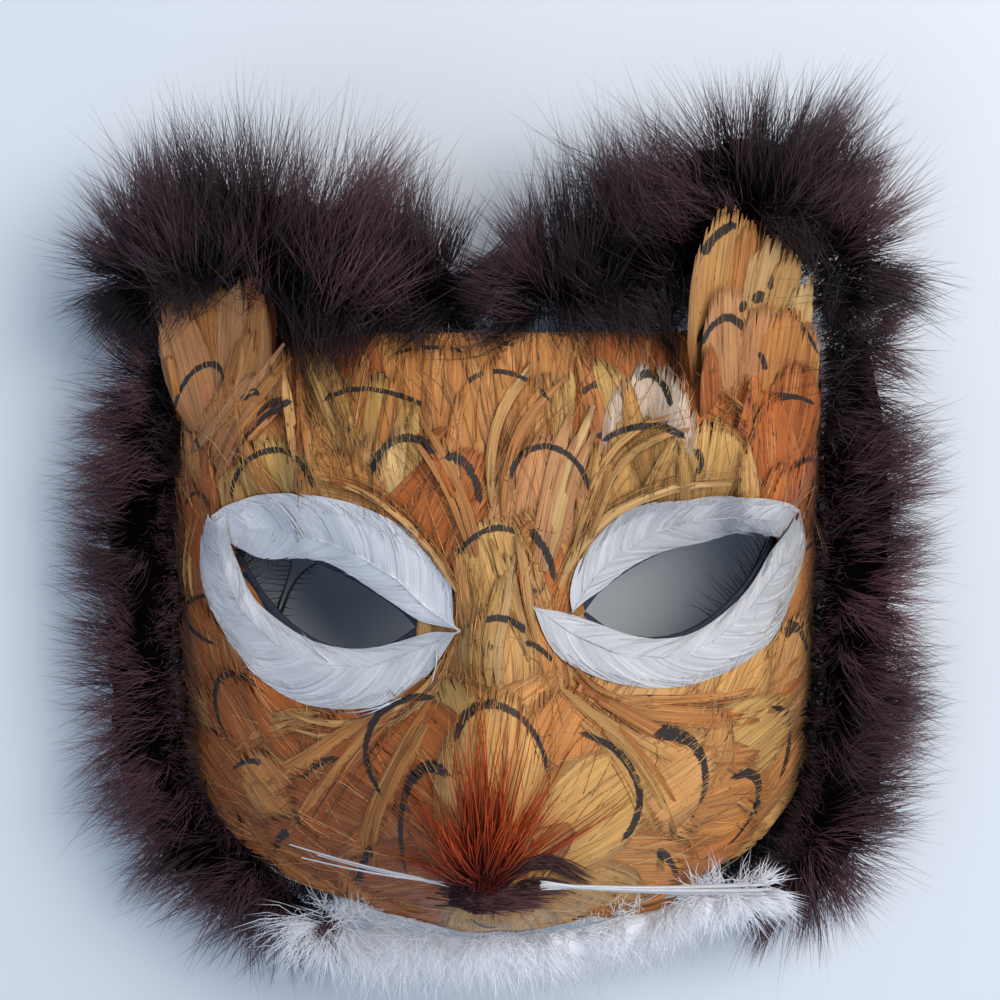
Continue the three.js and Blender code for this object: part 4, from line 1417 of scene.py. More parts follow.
def lay_group(heap, path, spread, straps, hairs, dye, broad, seed):
    """Straps and hairs beside one another along a line of pixels; spread is its width there."""
    random = np.random.default_rng(700 + seed)
    for number in range(straps + hairs):
        fibre = STRAP if number < straps else SHAFT
        if number < straps:
            first, last = 0.25 * random.random(), 1 - 0.2 * random.random()
        else:
            first = 0.55 * random.random()
            last = min(1, first + 0.35 + 0.5 * random.random())
        u = first + (last - first) * np.linspace(0, 1, fibre.levels + 1)
        middle = line_through(path, u)
        along = unit(line_through(path, u + 0.02) - line_through(path, u - 0.02))
        beside = random.uniform(-0.5, 0.5) + 0.12 * random.normal() * u
        width = spread[0] + (spread[1] - spread[0]) * u
        pixels = middle + (beside * width)[:, None] * np.stack([-along[:, 1], along[:, 0]], -1)
        points = seen_on_top(pixels)
        shade = 0.8 * DYES[dye[random.integers(len(dye))]] + 0.2 * WARM
        if number >= straps:
            # each hair is painted brighter or darker at random: painted highlights and painted shade
            painted_light_factor = random.choice([1.35, 1.1, 0.5, 0.3])
            radii = (0.11 - 0.07 * np.linspace(0, 1, fibre.levels + 1))[None]
            add_plain(heap, fibre, points[None], radii, np.minimum(shade * painted_light_factor, 0.9), seed)
            continue
        view = unit(points - EYE)
        side = unit(np.cross(view, unit(np.gradient(points, axis=0))))
        share = np.linspace(0, 1, fibre.levels + 1)
        outline = np.interp(share, [0, 0.2, 0.75, 1], [0.3, 1, 0.9, 0.3])
        half = broad * (0.7 + 0.6 * random.random()) / 2 * outline
        out_to = half[:, None] * side
        corners = np.stack([points - 0.14 * view, points + out_to, points - out_to], 1)
        corners = corners.reshape(1, -1, 3)
        out = np.stack([0 * half, half, -half], 1).reshape(1, -1)
        barbs = np.stack([out, np.repeat(share * 30, 3)[None], np.full(out.shape, seed * 5.7 + number)], -1)
        # each strap's tone is random, and its first part is painted darker: painted shade, as at a vane's
        # root
        tone = 0.80 + 0.22 * random.random() - 0.25 * (1 - smooth(0, 0.4, share))
        dyes = shade * np.repeat(tone, 3)[None, :, None]
        at_end, at_side = np.repeat(smooth(0.8, 1.0, share), 3), np.tile([0, 0.6, 0.6], len(share))
        edge = np.maximum(at_end, at_side)[None]
        among = arcs.values()
        places = corners[..., 0], corners[..., 1]
        for name, plane in planes.items():
            u_here, v_here = plane.behind(corners)
            if v_here.max() > 2 and (np.abs(u_here) < plane.width / 2 + 2).all():
                among, places = ear_arcs[name], (u_here, v_here)
        heap.add(STRAP, corners, dye=dyes, barbs=barbs, edge=edge, **ink_values(*places, among))


print("a group's strap has", STRAP.levels, "levels")

# %% [markdown]
# ## The groups
#
# Each group is read from the photograph: the line that its straps follow and how many there
# seem to be. Where only hairs cross the feathers, it has no straps.

# %% The groups, by pixels of the photograph
# line, its width at both ends, straps, hairs, dyes, how broad a strap is in mm
GROUPS = [
    ([(194, 495), (215, 445), (252, 397), (292, 345)], (8, 14), 3, 4, ("tan", "orange"), 3.0),
    ([(198, 520), (222, 470), (258, 425), (284, 396)], (12, 20), 5, 8, ("deep", "orange", "rust"), 2.4),
    ([(182, 470), (178, 420), (170, 370), (163, 335)], (10, 14), 4, 4, ("orange", "deep"), 2.6),
    ([(222, 425), (236, 395), (243, 360), (238, 330)], (8, 10), 2, 2, ("tan",), 2.4),
    ([(296, 470), (293, 430), (288, 390), (284, 345)], (30, 34), 3, 20, ("gold", "orange", "deep"), 2.4),
    ([(334, 450), (322, 410), (308, 375), (298, 345)], (34, 30), 1, 26, ("olive", "gold"), 2.4),
    ([(190, 610), (188, 560), (196, 520), (206, 490)], (16, 14), 5, 8, ("orange", "deep", "gold"), 2.4),
    ([(460, 596), (426, 542), (372, 494), (306, 472)], (8, 26), 3, 36, ("gold", "orange", "deep"), 1.8),
    ([(556, 590), (576, 548), (614, 508), (676, 482), (742, 476)], (8, 14), 3, 20, ("pale", "gold"), 2.0),
    (
        [(690, 372), (732, 402), (774, 445), (802, 500), (820, 560)],
        (8, 18), 0, 30, ("pale", "orange", "gold"), 1.8,
    ),
    ([(700, 405), (740, 430), (766, 462), (780, 492)], (16, 20), 0, 16, ("olive", "orange"), 3.0),
    (
        [(566, 590), (588, 525), (612, 465), (650, 432), (700, 416)],
        (12, 24), 3, 18, ("gold", "orange", "olive"), 2.6,
    ),
    (
        [(552, 644), (604, 696), (680, 708), (760, 696), (806, 655)],
        (8, 20), 2, 26, ("orange", "deep", "gold"), 2.0,
    ),
    ([(452, 644), (430, 690), (380, 724), (320, 730), (262, 712)], (8, 24), 2, 22, ("orange", "gold"), 2.0),
    ([(562, 690), (622, 745), (662, 805), (690, 868)], (24, 60), 4, 16, ("gold", "orange", "pale"), 2.6),
    ([(562, 684), (640, 730), (704, 765), (770, 805)], (20, 50), 3, 14, ("orange", "gold"), 2.6),
    ([(580, 698), (650, 712), (724, 716), (800, 708)], (14, 40), 3, 14, ("gold", "orange"), 3.0),
    ([(442, 690), (402, 762), (376, 822), (366, 885)], (10, 26), 5, 10, ("tan", "orange"), 2.6),
    ([(432, 682), (372, 742), (330, 800), (300, 850)], (14, 50), 4, 16, ("deep", "orange", "rust"), 2.6),
    ([(420, 694), (350, 732), (292, 772), (240, 795)], (12, 50), 4, 16, ("deep", "orange"), 2.6),
    ([(330, 716), (290, 722), (250, 733), (212, 762)], (16, 46), 4, 18, ("gold", "orange"), 2.0),
    ([(484, 700), (484, 650), (492, 600), (500, 545)], (30, 44), 4, 22, ("gold", "pale", "olive"), 2.8),
    ([(534, 660), (520, 610), (512, 570), (500, 530)], (14, 30), 3, 10, ("orange", "gold"), 2.2),
    ([(540, 575), (552, 520), (568, 460), (590, 402)], (16, 40), 4, 10, ("tan", "pale"), 3.4),
    ([(470, 560), (452, 510), (424, 460), (392, 420)], (16, 50), 3, 18, ("orange", "deep", "gold"), 2.4),
    ([(352, 478), (340, 440), (322, 408), (308, 380)], (30, 60), 0, 34, ("gold", "olive", "orange"), 2.0),
    ([(500, 520), (504, 470), (520, 420), (560, 372)], (20, 60), 3, 20, ("gold", "orange"), 2.4),
    ([(440, 900), (424, 905), (404, 898), (396, 880)], (10, 34), 3, 20, ("orange", "deep"), 1.8),
    ([(560, 905), (600, 905), (650, 895), (700, 872)], (10, 26), 3, 12, ("orange", "gold"), 2.4),
]
print(len(GROUPS), "groups of straps and hairs")

# %% [markdown]
# ## Laying the coat
#
# The plans are laid in their order, then single barbs are strewn over them, painted bright,
# middling and dark, a painted light and shade, and last the groups. All that stands for one
# node becomes one mesh.

# %% Laying the coat
heaps = {}
for number, plan in enumerate(plans):
    heap = heaps.setdefault(plan["node"], Heap())
    details = {key: value for key, value in plan.items() if key not in ("node", "late")}
    lay_feather(heap, seed=number + 1, **details)
# the strewn barbs are painted bright, middling and dark: painted highlights and painted shade
for group, (painted_light_factor, count) in enumerate(((1.3, 520), (0.8, 120), (0.34, 230))):
    spots = np.stack([scatter.uniform(-84, 84, count), scatter.uniform(-88, 70, count)], -1)
    u = np.linspace(0, 1, BARB.levels + 1)
    for spot in spots:
        if not on_shell(*spot):
            continue
        turn = radians(radial(*spot) + 15 * scatter.normal()) + u * 0.6 * scatter.normal()
        steps = np.stack([np.cos(turn), np.sin(turn)], -1) * (7 + 17 * scatter.random()) / BARB.levels
        line = spot + np.cumsum(steps, axis=0)
        x, y = inside_face(line[:, 0], line[:, 1])
        if over_openings(x, y, 2).any():
            continue
        rise = 0.1 + 0.6 * scatter.random() * u**2
        lines = on_face(x, y, bed.rest(x, y) + rise)[None]
        dye = DYES[["gold", "pale", "orange"][scatter.integers(3)]] * painted_light_factor
        add_plain(heaps["under"], BARB, lines, (0.10 - 0.05 * u)[None], np.minimum(dye, 0.9), group)
for number, (path, spread, straps, hairs, dye, broad) in enumerate(GROUPS):
    lay_group(heaps["under"], path, spread, straps, hairs, dye, broad, number)
for node, heap in heaps.items():
    replaced = [] if node == "under" else [node]
    piece_of(heap, "coat_" + node, dyed, "orange_feather", *replaced, sharp=60)
print("the coat has", sum(pieces.values()), "triangles and reaches",
      round(float(bed.lift.max()), 2), "mm above the shell")

# %% [markdown]
# ## White feathers round the eyes
#
# Two white feathers frame each eye, their quills meeting at the inner corner. Each follows
# the opening with one side of its vane and the coat with the other, so their barbs run
# between a curved shaft and the two edges of the border.

# %% Laying a rim feather
WHITE = colour(214, 213, 210)


def strip_lines(random, fibre, strips, place):
    """The two edges and the crown of each strip of barbs, to both sides of the shaft."""
    reaches = np.linspace(0, 1, fibre.levels + 1)
    j = np.repeat(np.arange(strips), 2)[:, None]
    side = np.tile([-1, 1], strips)[:, None]
    torn = random.random((2 * strips, 1)) < 0.08
    short = 0.012 * random.random((2 * strips, 1)) + torn * 0.15 * random.random((2 * strips, 1))
    reach = reaches * (1 - short)
    lap = np.interp(reaches, [0, 0.6, 1], [0.55, 0.45, 0.06]) - 0.3 * torn * reaches**2
    drift = (random.random((2 * strips, 1)) - 0.5) * 0.3 * reaches**2
    shares = [(j - lap + drift) / strips, (j + 0.5 + drift) / strips, (j + 1 + lap + drift) / strips]
    rear, crown, fore = (place(q, reach, side) for q in shares)
    return j, side, reaches, rear, crown, fore


def ordered(ahead, rear, crown, fore):
    """Crown, left and right corners, so that both sides of the shaft face upwards."""
    left = [np.where(ahead, r, f) for r, f in zip(rear, fore)]
    right = [np.where(ahead, f, r) for r, f in zip(rear, fore)]
    return tuple(np.stack([crown[i], left[i], right[i]], -1) for i in (0, 1))


def traced(pixels):
    """A smooth line on the face through pixels of the photograph, read at shares of its length."""
    places = np.array([seen_on_face(*pixel) for pixel in pixels])
    fine = line_through(places, np.linspace(0, 1, 400))
    gone = np.append(0, np.cumsum(np.hypot(*np.diff(fine, axis=0).T)))
    return lambda t: np.stack([np.interp(t, gone / gone[-1], fine[:, i]) for i in (0, 1)], -1)


def lay_rim(heap, outer, inner, shaft, flip, tone, seed, strips=44, wisps=70):
    """outer is the edge on the coat, inner the edge at the opening, both from quill to tip."""
    random = np.random.default_rng(seed)
    outer, inner, shaft = traced(outer), traced(inner), traced(shaft)

    def at(t, out):
        """out runs from -1 at the opening's edge to 0 on the shaft and 1 at the coat's edge."""
        middle = shaft(t)
        edge = np.where(out[..., None] > 0, outer(t), inner(t))
        return middle + np.abs(out)[..., None] * (edge - middle)

    def barb(q, reach, side):
        q = np.clip(q, 0, 1)
        begin, end = 0.97 * q, 1 - 0.85 * (1 - q) ** 1.35
        out = side * (1.03 * (1 - np.maximum(1 - reach, 0) ** 1.6) - 0.03)
        return begin + (end - begin) * reach**1.1, out

    j, side, reaches, rear, crown, fore = strip_lines(random, STRIP, strips, barb)
    t, out = ordered(side * flip > 0, rear, crown, fore)
    place = at(np.clip(t, 0, 1), out)
    x, y = place[..., 0], place[..., 1]
    uneven = 0.22 * (random.random((2 * strips, 1, 1)) - 0.5) * reaches[None, :, None]
    tilt = side[:, :, None] * flip * np.array([0, 1, -1]) * 0.05
    camber = 0.9 * (1 - np.abs(out) ** 1.6)
    lift = bed.rest(x, y) * 0.6 + 0.9 + camber + uneven + tilt + np.array([0.07, 0, 0])
    lift = np.maximum(lift, bed.rest(x, y) + 0.12 + camber * 0.4)
    bed.lay(x, y, lift + 0.05)
    points = on_face(x, y, lift).reshape(2 * strips, -1, 3)
    shade = 0.90 + 0.12 * random.random((2 * strips, 1, 1)) + 0 * x
    # tone paints the whole feather lighter or darker: a painted light and shade
    dyes = (shade[..., None] * WHITE * tone).reshape(points.shape)
    along = (j / strips * 70)[:, :, None] + np.array([0, -0.5, 0.5]) + 0 * x
    barbs = np.stack([along, out * 9, 0 * x + seed], -1).reshape(points.shape)
    heap.add(STRIP, points, dye=dyes, barbs=barbs)

    u = np.linspace(0.0, 0.97, SHAFT.levels + 1)[None]
    spine = at(u, 0 * u)
    rise = bed.rest(spine[..., 0], spine[..., 1]) + 0.02
    lines = on_face(spine[..., 0], spine[..., 1], rise)
    add_barbs(heap, SHAFT, lines, 0.28 * (1 - 0.8 * u), WHITE * 1.1 * tone, seed)
    w = np.linspace(0, 1, BARB.levels + 1)
    lines, radii = [], []
    for _ in range(wisps):
        q, far = random.random(), 1 if random.random() < 0.8 else -1
        begin, end = 0.97 * q, 1 - 0.8 * (1 - q) ** 1.35
        t = begin + (end - begin) * (0.5 + 0.52 * w)
        stray = at(np.clip(t, 0, 1), far * (0.7 + (0.28 + 0.10 * random.random()) * w))
        rise = bed.rest(stray[..., 0], stray[..., 1]) + 0.05 + (0.1 + 0.6 * random.random()) * w**2
        lines.append(on_face(stray[..., 0], stray[..., 1], rise))
        radii.append(0.09 - 0.05 * w)
    add_barbs(heap, BARB, np.array(lines), np.array(radii), WHITE * 1.08 * tone, seed)


print("the white dye is", np.round(WHITE, 3))

# %% [markdown]
# ## The four rim feathers
#
# Each one's outer edge, inner edge and shaft run through pixels of the photograph, from the
# quill at the inner corner of the eye to the tip. Each has a tone of its own, a painted light
# and shade that makes the upper left one lighter and the right ones darker, so that all four
# come near their brightness in the photograph.

# %% The four rim feathers, by pixels of the photograph from quill to tip
RIMS = {
    "left_eye_upper_feather": dict(
        outer=[
            (461, 627), (457, 595), (436, 553), (387, 516),
            (326, 495), (272, 491), (236, 498), (215, 511),
        ],
        inner=[
            (459, 629), (438, 627), (415, 618), (380, 595),
            (323, 561), (265, 559), (243, 549), (231, 538),
        ],
        shaft=[
            (460, 628), (441, 620), (420, 600), (392, 574),
            (340, 545), (290, 531), (250, 526), (222, 524),
        ],
        flip=1,
        tone=1.22,
    ),
    "left_eye_lower_feather": dict(
        outer=[
            (461, 630), (452, 652), (418, 682), (367, 706), (293, 698), (237, 645), (208, 585),
            (205, 540), (217, 505),
        ],
        inner=[
            (459, 627), (438, 626), (405, 640), (354, 649), (303, 636), (257, 600), (238, 560),
            (233, 532), (231, 505),
        ],
        shaft=[
            (460, 628), (438, 638), (405, 654), (354, 667), (293, 652), (247, 611), (228, 570),
            (222, 537), (224, 504),
        ],
        flip=-1,
        tone=1.0,
    ),
    "right_eye_upper_feather": dict(
        outer=[
            (557, 606), (566, 582), (599, 534), (639, 504),
            (690, 496), (741, 489), (775, 492), (797, 507),
        ],
        inner=[
            (584, 617), (591, 602), (625, 571), (665, 551),
            (709, 541), (747, 528), (773, 534), (789, 524),
        ],
        shaft=[
            (572, 611), (580, 594), (608, 562), (650, 533),
            (700, 517), (744, 509), (776, 512), (793, 515),
        ],
        flip=-1,
        tone=0.88,
    ),
    "right_eye_lower_feather": dict(
        outer=[
            (529, 603), (535, 631), (570, 664), (625, 684), (698, 681), (751, 652), (782, 615),
            (800, 560), (801, 525), (793, 503),
        ],
        inner=[
            (530, 601), (551, 604), (591, 621), (639, 637), (683, 636), (717, 618), (748, 588),
            (767, 556), (780, 530), (790, 508),
        ],
        shaft=[
            (530, 602), (546, 613), (585, 640), (635, 656), (690, 651), (728, 626), (762, 590),
            (782, 555), (791, 530), (792, 506),
        ],
        flip=1,
        tone=0.82,
    ),
}
for number, (node, lines) in enumerate(RIMS.items()):
    heap = Heap()
    lay_rim(heap, seed=300 + number, **lines)
    piece_of(heap, "rim_" + node, white_vane, "white_feather", node, sharp=60)
    print(node, pieces["rim_" + node], "triangles")

# %% [markdown]
# ## Stray white barbs
#
# A few long barbs of the rims stray over the coat. Each is a single fibre through three
# pixels of the photograph, rising a little off the coat towards its end.

# %% A few long white barbs stray over the coat
STRAYS = [
    [(306, 536), (288, 508), (262, 479)],
    [(304, 533), (284, 512), (265, 490)],
    [(300, 540), (290, 515), (272, 487)],
    [(402, 694), (372, 707), (336, 711)],
    [(410, 688), (380, 706), (352, 716)],
    [(330, 660), (318, 650), (300, 628)],
    [(437, 648), (436, 668), (428, 688)],
]
lines = []
for pixels in STRAYS:
    place = traced(pixels)(np.linspace(0, 1, BARB.levels + 1))
    rise = bed.rest(place[:, 0], place[:, 1]) + np.array([0.1, 0.5, 0.8, 0.9])
    lines.append(on_face(place[:, 0], place[:, 1], rise))
heap = Heap()
add_barbs(heap, BARB, np.array(lines), np.array([0.38, 0.3, 0.2, 0.06]), WHITE * 1.08, 9)
piece_of(heap, "rim_strays", white_vane, "white_feather")
print(len(STRAYS), "white barbs over the coat")

# %% [markdown]
# ## Marabou
#
# Marabou is plumes bound into a strip: each has a short soft shaft, and long barbs leave it.
# A strip is described by a line of places with a reach at each, and everything on it is
# placed along it, outwards from the face and up.

# %% The line of a strip and its ways
MIDDLE = [0, -5, 0]


def strip_frame(path, t):
    """Centre, reach, the way along, outwards from the face and up, at shares t of a strip."""
    here = line_through(path, t)
    step = line_through(path, np.asarray(t) + 0.01) - line_through(path, np.asarray(t) - 0.01)
    along = unit(step[..., :3] * [1, 1, 0.6])
    outward = np.stack([along[..., 1], -along[..., 0], 0 * along[..., 0]], -1)
    from_middle = here[..., :3] * [1, 1, 0] - MIDDLE
    outward = unit(outward * np.where((outward * from_middle).sum(-1, keepdims=True) < 0, -1, 1))
    up = np.broadcast_to([0.0, 0.0, 1.0], outward.shape)
    return here[..., :3], here[..., 3], along, outward, up


print("strips run round the point", MIDDLE)

# %% [markdown]
# ## Behind the ears
#
# The mane stands behind the ears. A strand that would cross an ear in the camera's view is
# set back along the ear's front until it clears its feathers.

# %% Strands set back behind the ears
EAR_OUTLINES = {
    "right_ear": [
        (683, 345), (683, 300), (690, 260), (715, 225), (753, 207), (765, 225), (775, 245),
        (798, 262), (808, 290), (808, 330), (800, 400), (700, 420),
    ],
    "left_ear": [(168, 350), (188, 326), (225, 316), (266, 322), (290, 350), (290, 420), (170, 420)],
}


def behind_ears(lines):
    """Strands that would hang in front of an ear are set back behind it."""
    between = np.concatenate([lines, (lines[:, 1:] + lines[:, :-1]) / 2], 1)
    for name, outline in EAR_OUTLINES.items():
        plane = planes[name]
        u, v = plane.behind(between)
        corners = np.array([plane.seen(*pixel) for pixel in outline])
        inside = np.zeros(u.shape, bool)
        for (u0, v0), (u1, v1) in zip(corners, np.roll(corners, -1, axis=0)):
            crossing = (v0 > v) != (v1 > v)
            inside ^= crossing & (u < u0 + (v - v0) * (u1 - u0) / (v1 - v0 + 1e-9))
        front = ((between - plane.foot) @ plane.front) * inside
        depth = front.max(1) + 4.5
        lines = lines - np.where(inside.any(1) & (depth > 0), depth, 0)[:, None, None] * plane.front
    return lines


print(sum(len(outline) for outline in EAR_OUTLINES.values()), "corners round the ears")

# %% [markdown]
# ## Plumes
#
# Each plume is a bunch of barbs that leave one root almost together and part on the way. The
# roots lie along the strip, turned all round it, and the barbs bend outwards and a little
# down. Barbs that would pass the model's box are drawn in, and none sinks under the table.

# %% Plumes along a strip
WIDEST, LOWEST = 122, 0.5


def plumes(heap, path, count, barbs, seed, spread=(-35, 195), flat=17, thick=0.09, size=1.0, inner=0.8,
           loose=0.13, sweep=0.62, rooted=0.6, light=0.0):
    """Plumes along a strip: bunches of barbs that leave it to all sides and bend outwards."""
    random = np.random.default_rng(seed)
    t = (np.arange(count) + random.random(count)) / count
    random.shuffle(t)
    centre, reach, along, outward, up = strip_frame(path, t)
    turned = (np.arange(count) + random.random(count)) / count
    turn = np.radians(spread[0] + (spread[1] - spread[0]) * turned)
    over = np.cos(turn)[:, None] < -0.35
    tall = (np.minimum(reach, flat) / reach)[:, None]
    start = np.cos(turn)[:, None] * outward + np.sin(turn)[:, None] * up * tall
    inwards = np.where(over, 0.30, 0.05 + rooted * random.random((count, 1)))
    root = centre + (0.2 * start - inwards * outward) * reach[:, None]
    ends = np.where(t < 0.07, -1.0, np.where(t > 0.93, 1.0, 0))[:, None]
    sway = 0.4 * np.sin(2 * pi * (2.3 * t + random.random())) + 0.34 * random.normal(size=count)
    lean = along * (ends + sway[:, None])
    settle = np.where(over, -outward, outward) - 0.12 * up
    start, settle = start + 0.6 * lean, settle + lean
    # A bunch's barbs leave almost together and part a little on the way
    shape = (count, barbs, 1)
    apart = loose * np.where(over, 2.2, 1.0)[:, None]
    root = root[:, None] + 0.07 * reach[:, None, None] * random.normal(size=(count, barbs, 3))
    start = start[:, None] + apart * random.normal(size=(count, barbs, 3))
    settle = settle[:, None] + 1.9 * apart * random.normal(size=(count, barbs, 3))
    start, settle = (
        way / np.maximum(1, np.linalg.norm(way, axis=-1, keepdims=True)) for way in (start, settle)
    )
    size_here = size * np.where(over, inner, 1 + 0.9 * inwards) * (0.82 + 0.3 * random.random((count, 1)))
    longer = 0.58 + 0.40 * random.random(shape) + 0.34 * random.random(shape) ** 5
    stretch = 0.84 * (reach[:, None] * size_here)[:, None] * longer
    u = np.linspace(0, 1, DOWN.levels + 1)[:, None]
    path_of = start[:, :, None] * (u - sweep * 0.8 * u**2) + settle[:, :, None] * sweep * u**2
    lines = (root[:, :, None] + stretch[:, :, None] * path_of).reshape(-1, DOWN.levels + 1, 3)
    lines = behind_ears(lines)
    beyond = np.maximum(0, np.abs(lines[..., :2] + SHIFT[:2]) - WIDEST)
    lines[..., :2] -= 0.4 * beyond * np.sign(lines[..., :2] + SHIFT[:2])
    height = lines[..., 2]
    lines[..., 2] = np.where(height < 3, 0.3 + 2.7 * np.exp((height - 3) / 6), height)
    phase = 2 * pi * random.random(2)
    waves = 0.24 * np.sin(2 * pi * 2.3 * t + phase[0]) + 0.20 * np.sin(2 * pi * 5.1 * t + turn + phase[1])
    deep = np.where(over, 0.16, (0.36 + 0.20 * np.abs(np.cos(turn)) + waves)[:, None])
    # light paints all of a strip's barbs lighter or darker: a painted light and shade
    tint = np.repeat(deep + light + 0.10 * random.normal(size=(count, 1)), barbs, 1).reshape(-1, 1)
    radii = thick * np.array([1.0, 0.75, 0]) * (0.7 + 0.6 * random.random((len(lines), 1)))
    strands(heap, DOWN, lines, radii, tint=np.clip(tint + 0.1 * random.normal(size=tint.shape), 0, 1))


print("a plume's barb has", DOWN.levels, "levels")

# %% [markdown]
# ## The core of a strip
#
# The bound middle is a tube that follows the strip, uneven and almost black, a painted shade
# for the depth of the mane, so that no light passes between the plumes.

# %% The middle of a strip of marabou
def core(name, path, material, share, flat, shifted):
    """The bound middle of a strip: a tube modelled from a cylinder, shaggy; in the mane it is near black, a
    painted shade.
    """
    tube = primitive(bpy.ops.mesh.primitive_cylinder_add, name, vertices=14, radius=1, depth=1)
    cut_across(levels=36)
    straight = corners_of(tube)
    t = straight[:, 2] + 0.5
    centre, reach, along, outward, up = strip_frame(path, 0.05 + 0.90 * t)
    centre = centre - shifted * outward * reach[:, None]
    rounded_ends = np.clip(4 * np.minimum(t, 1 - t) + 0.35, 0, 1)
    shag = share * (0.85 + 0.3 * np.random.default_rng(5).random(len(t))) * rounded_ends
    out = straight[:, 0] * reach * shag
    rise = straight[:, 1] * np.minimum(reach, flat) * shag
    places = centre + out[:, None] * outward + rise[:, None] * up
    places[:, 2] = np.maximum(places[:, 2], LOWEST)
    move_corners(tube, places)
    bpy.ops.object.mode_set(mode="EDIT")
    bpy.ops.mesh.select_all(action="SELECT")
    bpy.ops.mesh.normals_make_consistent(inside=False)
    bpy.ops.object.mode_set(mode="OBJECT")
    bpy.ops.object.shade_smooth()
    finish_piece(tube, material, [])


print("nothing of the mane lies lower than", LOWEST, "mm")

# %% [markdown]
# ## The mane
#
# Four strips run round the rim: one down each side and two over the forehead, behind the
# ears. Their lines give x, y, the height and the reach of the plumes, in millimetres.

# %% The mane's lines
MANE = {
    "mane_left": [
        (-46, -92, 29, 15), (-61, -91, 23, 19), (-82, -79, 18, 21), (-95, -58, 17, 21),
        (-99, -33, 17, 20), (-99, -6, 17, 19), (-98, 21, 17, 19), (-95, 45, 18, 19), (-92, 66, 21, 16),
    ],
    "mane_top_left": [
        (-97, 73, 26, 15), (-93, 87, 30, 20), (-78, 95, 35, 25), (-59, 94, 40, 30),
        (-39, 91, 44, 29), (-20, 85, 45, 23), (-3, 79, 46, 18),
    ],
    "mane_top_right": [
        (0, 80, 46, 18), (17, 87, 46, 23), (36, 95, 45, 28), (54, 107, 44, 24),
        (74, 108, 42, 23), (89, 97, 36, 21), (98, 79, 28, 18),
    ],
    "mane_right": [
        (97, 76, 22, 16), (98, 48, 18, 18), (100, 21, 17, 20), (100, -6, 17, 20),
        (100, -33, 17, 20), (98, -58, 17, 21), (89, -79, 19, 20), (73, -88, 25, 15),
    ],
}


print(len(MANE), "strips of marabou")

# %% [markdown]
# ## Barbs across the right ear
#
# The photograph shows a few barbs of the mane lying over the tip of the right ear.

# %% Barbs across the right ear
def across_ear(heap, count=18):
    """A few barbs of the mane lie across the right ear."""
    random = np.random.default_rng(590)
    begin = np.stack([19 + 4 * random.random(count), 6 + 30 * random.random(count)], -1)
    ends = begin + np.stack([-14 - 22 * random.random(count), -4 + 14 * random.random(count)], -1)
    w = np.linspace(0, 1, SHAFT.levels + 1)[None, :, None]
    spots = begin[:, None] * (1 - w) + ends[:, None] * w
    spots = spots + np.array([0, 4]) * random.normal(size=(count, 1, 1)) * w * (1 - w) * 4
    lines = right_plane.at(spots[..., 0], spots[..., 1], 5.0 + 0.8 * random.random((count, 1)))
    tint = 0.6 + 0.5 * random.random((count, 1))
    strands(heap, SHAFT, lines, np.linspace(0.085, 0, SHAFT.levels + 1), tint=tint)


print("the right ear is", right_plane.width, "mm wide")

# %% [markdown]
# ## Short plumes that close the gaps
#
# Between the coat's edge, the ears and the long plumes, the real mane is dense down. Short
# barbs are rooted there, along lines through pixels of the photograph at a set height, and
# painted dark: a painted shade for the gaps.

# %% Tucked plumes, and how full each strip is
# the mane's core is near black: a painted shade for the mane's depth
core_painted_shade = mottled(
    "mane_core", {"Roughness": 1.0, "Specular IOR Level": 0.0}, rgba(2, 1, 2), rgba(9, 6, 8),
    detail=4, roughness=0.7, stretch=(500, 500, 900),
)
# how flat a strip lies, how far it reaches inwards, how far in it is rooted, how much lighter its barbs are
# painted: a painted light and shade
FULLNESS = {
    "mane_left": (17, 0.40, 0.46, 0.36),
    "mane_top_left": (25, 1.1, 0.6, -0.04),
    "mane_top_right": (22, 1.1, 0.6, -0.06),
    "mane_right": (17, 0.36, 0.48, 0.24),
}
# strip, line by pixels of the photograph, height, first and last heading, length, count, radius
TUCKED = [
    ("mane_top_right", [(700, 240), (686, 270), (682, 305), (664, 338)], 40, 130, 230, 13, 220, 0.13),
    ("mane_right", [(818, 245), (832, 300), (838, 350), (834, 430)], 24, 60, -20, 15, 320, 0.16),
    ("mane_right", [(818, 245), (832, 300), (836, 350), (832, 430)], 22, 130, 200, 8, 200, 0.16),
    ("mane_right", [(840, 440), (841, 560), (836, 690), (816, 785), (774, 858)], 17, 20, -60, 13, 380, 0.13),
    (
        "mane_right", [(821, 440), (824, 560), (820, 660), (806, 760), (772, 826), (722, 878)],
        6, 10, -60, 11, 520, 0.32,
    ),
    ("mane_right", [(806, 775), (780, 822), (748, 862)], 9, -10, -60, 18, 260, 0.2),
    ("mane_top_left", [(284, 290), (288, 325), (306, 340), (345, 341)], 33, 40, 100, 12, 220, 0.13),
    ("mane_left", [(163, 290), (158, 345), (168, 410), (176, 470)], 25, 120, 190, 13, 240, 0.13),
    ("mane_left", [(168, 470), (156, 590), (162, 690), (188, 795), (234, 862)], 17, 160, 240, 13, 380, 0.13),
    (
        "mane_left", [(177, 450), (174, 560), (178, 660), (192, 756), (222, 820), (262, 868)],
        6, 170, 240, 11, 520, 0.32,
    ),
]


def seen_level(pixel, height, under=6):
    """Where a pixel of the photograph falls on a level plane, at least so far under the face."""
    way = ray(*pixel)
    place = EYE + way * (height - EYE[2]) / way[2]
    if under:
        place[2] = min(height, float(face_height(place[0], place[1])) - under)
    return place


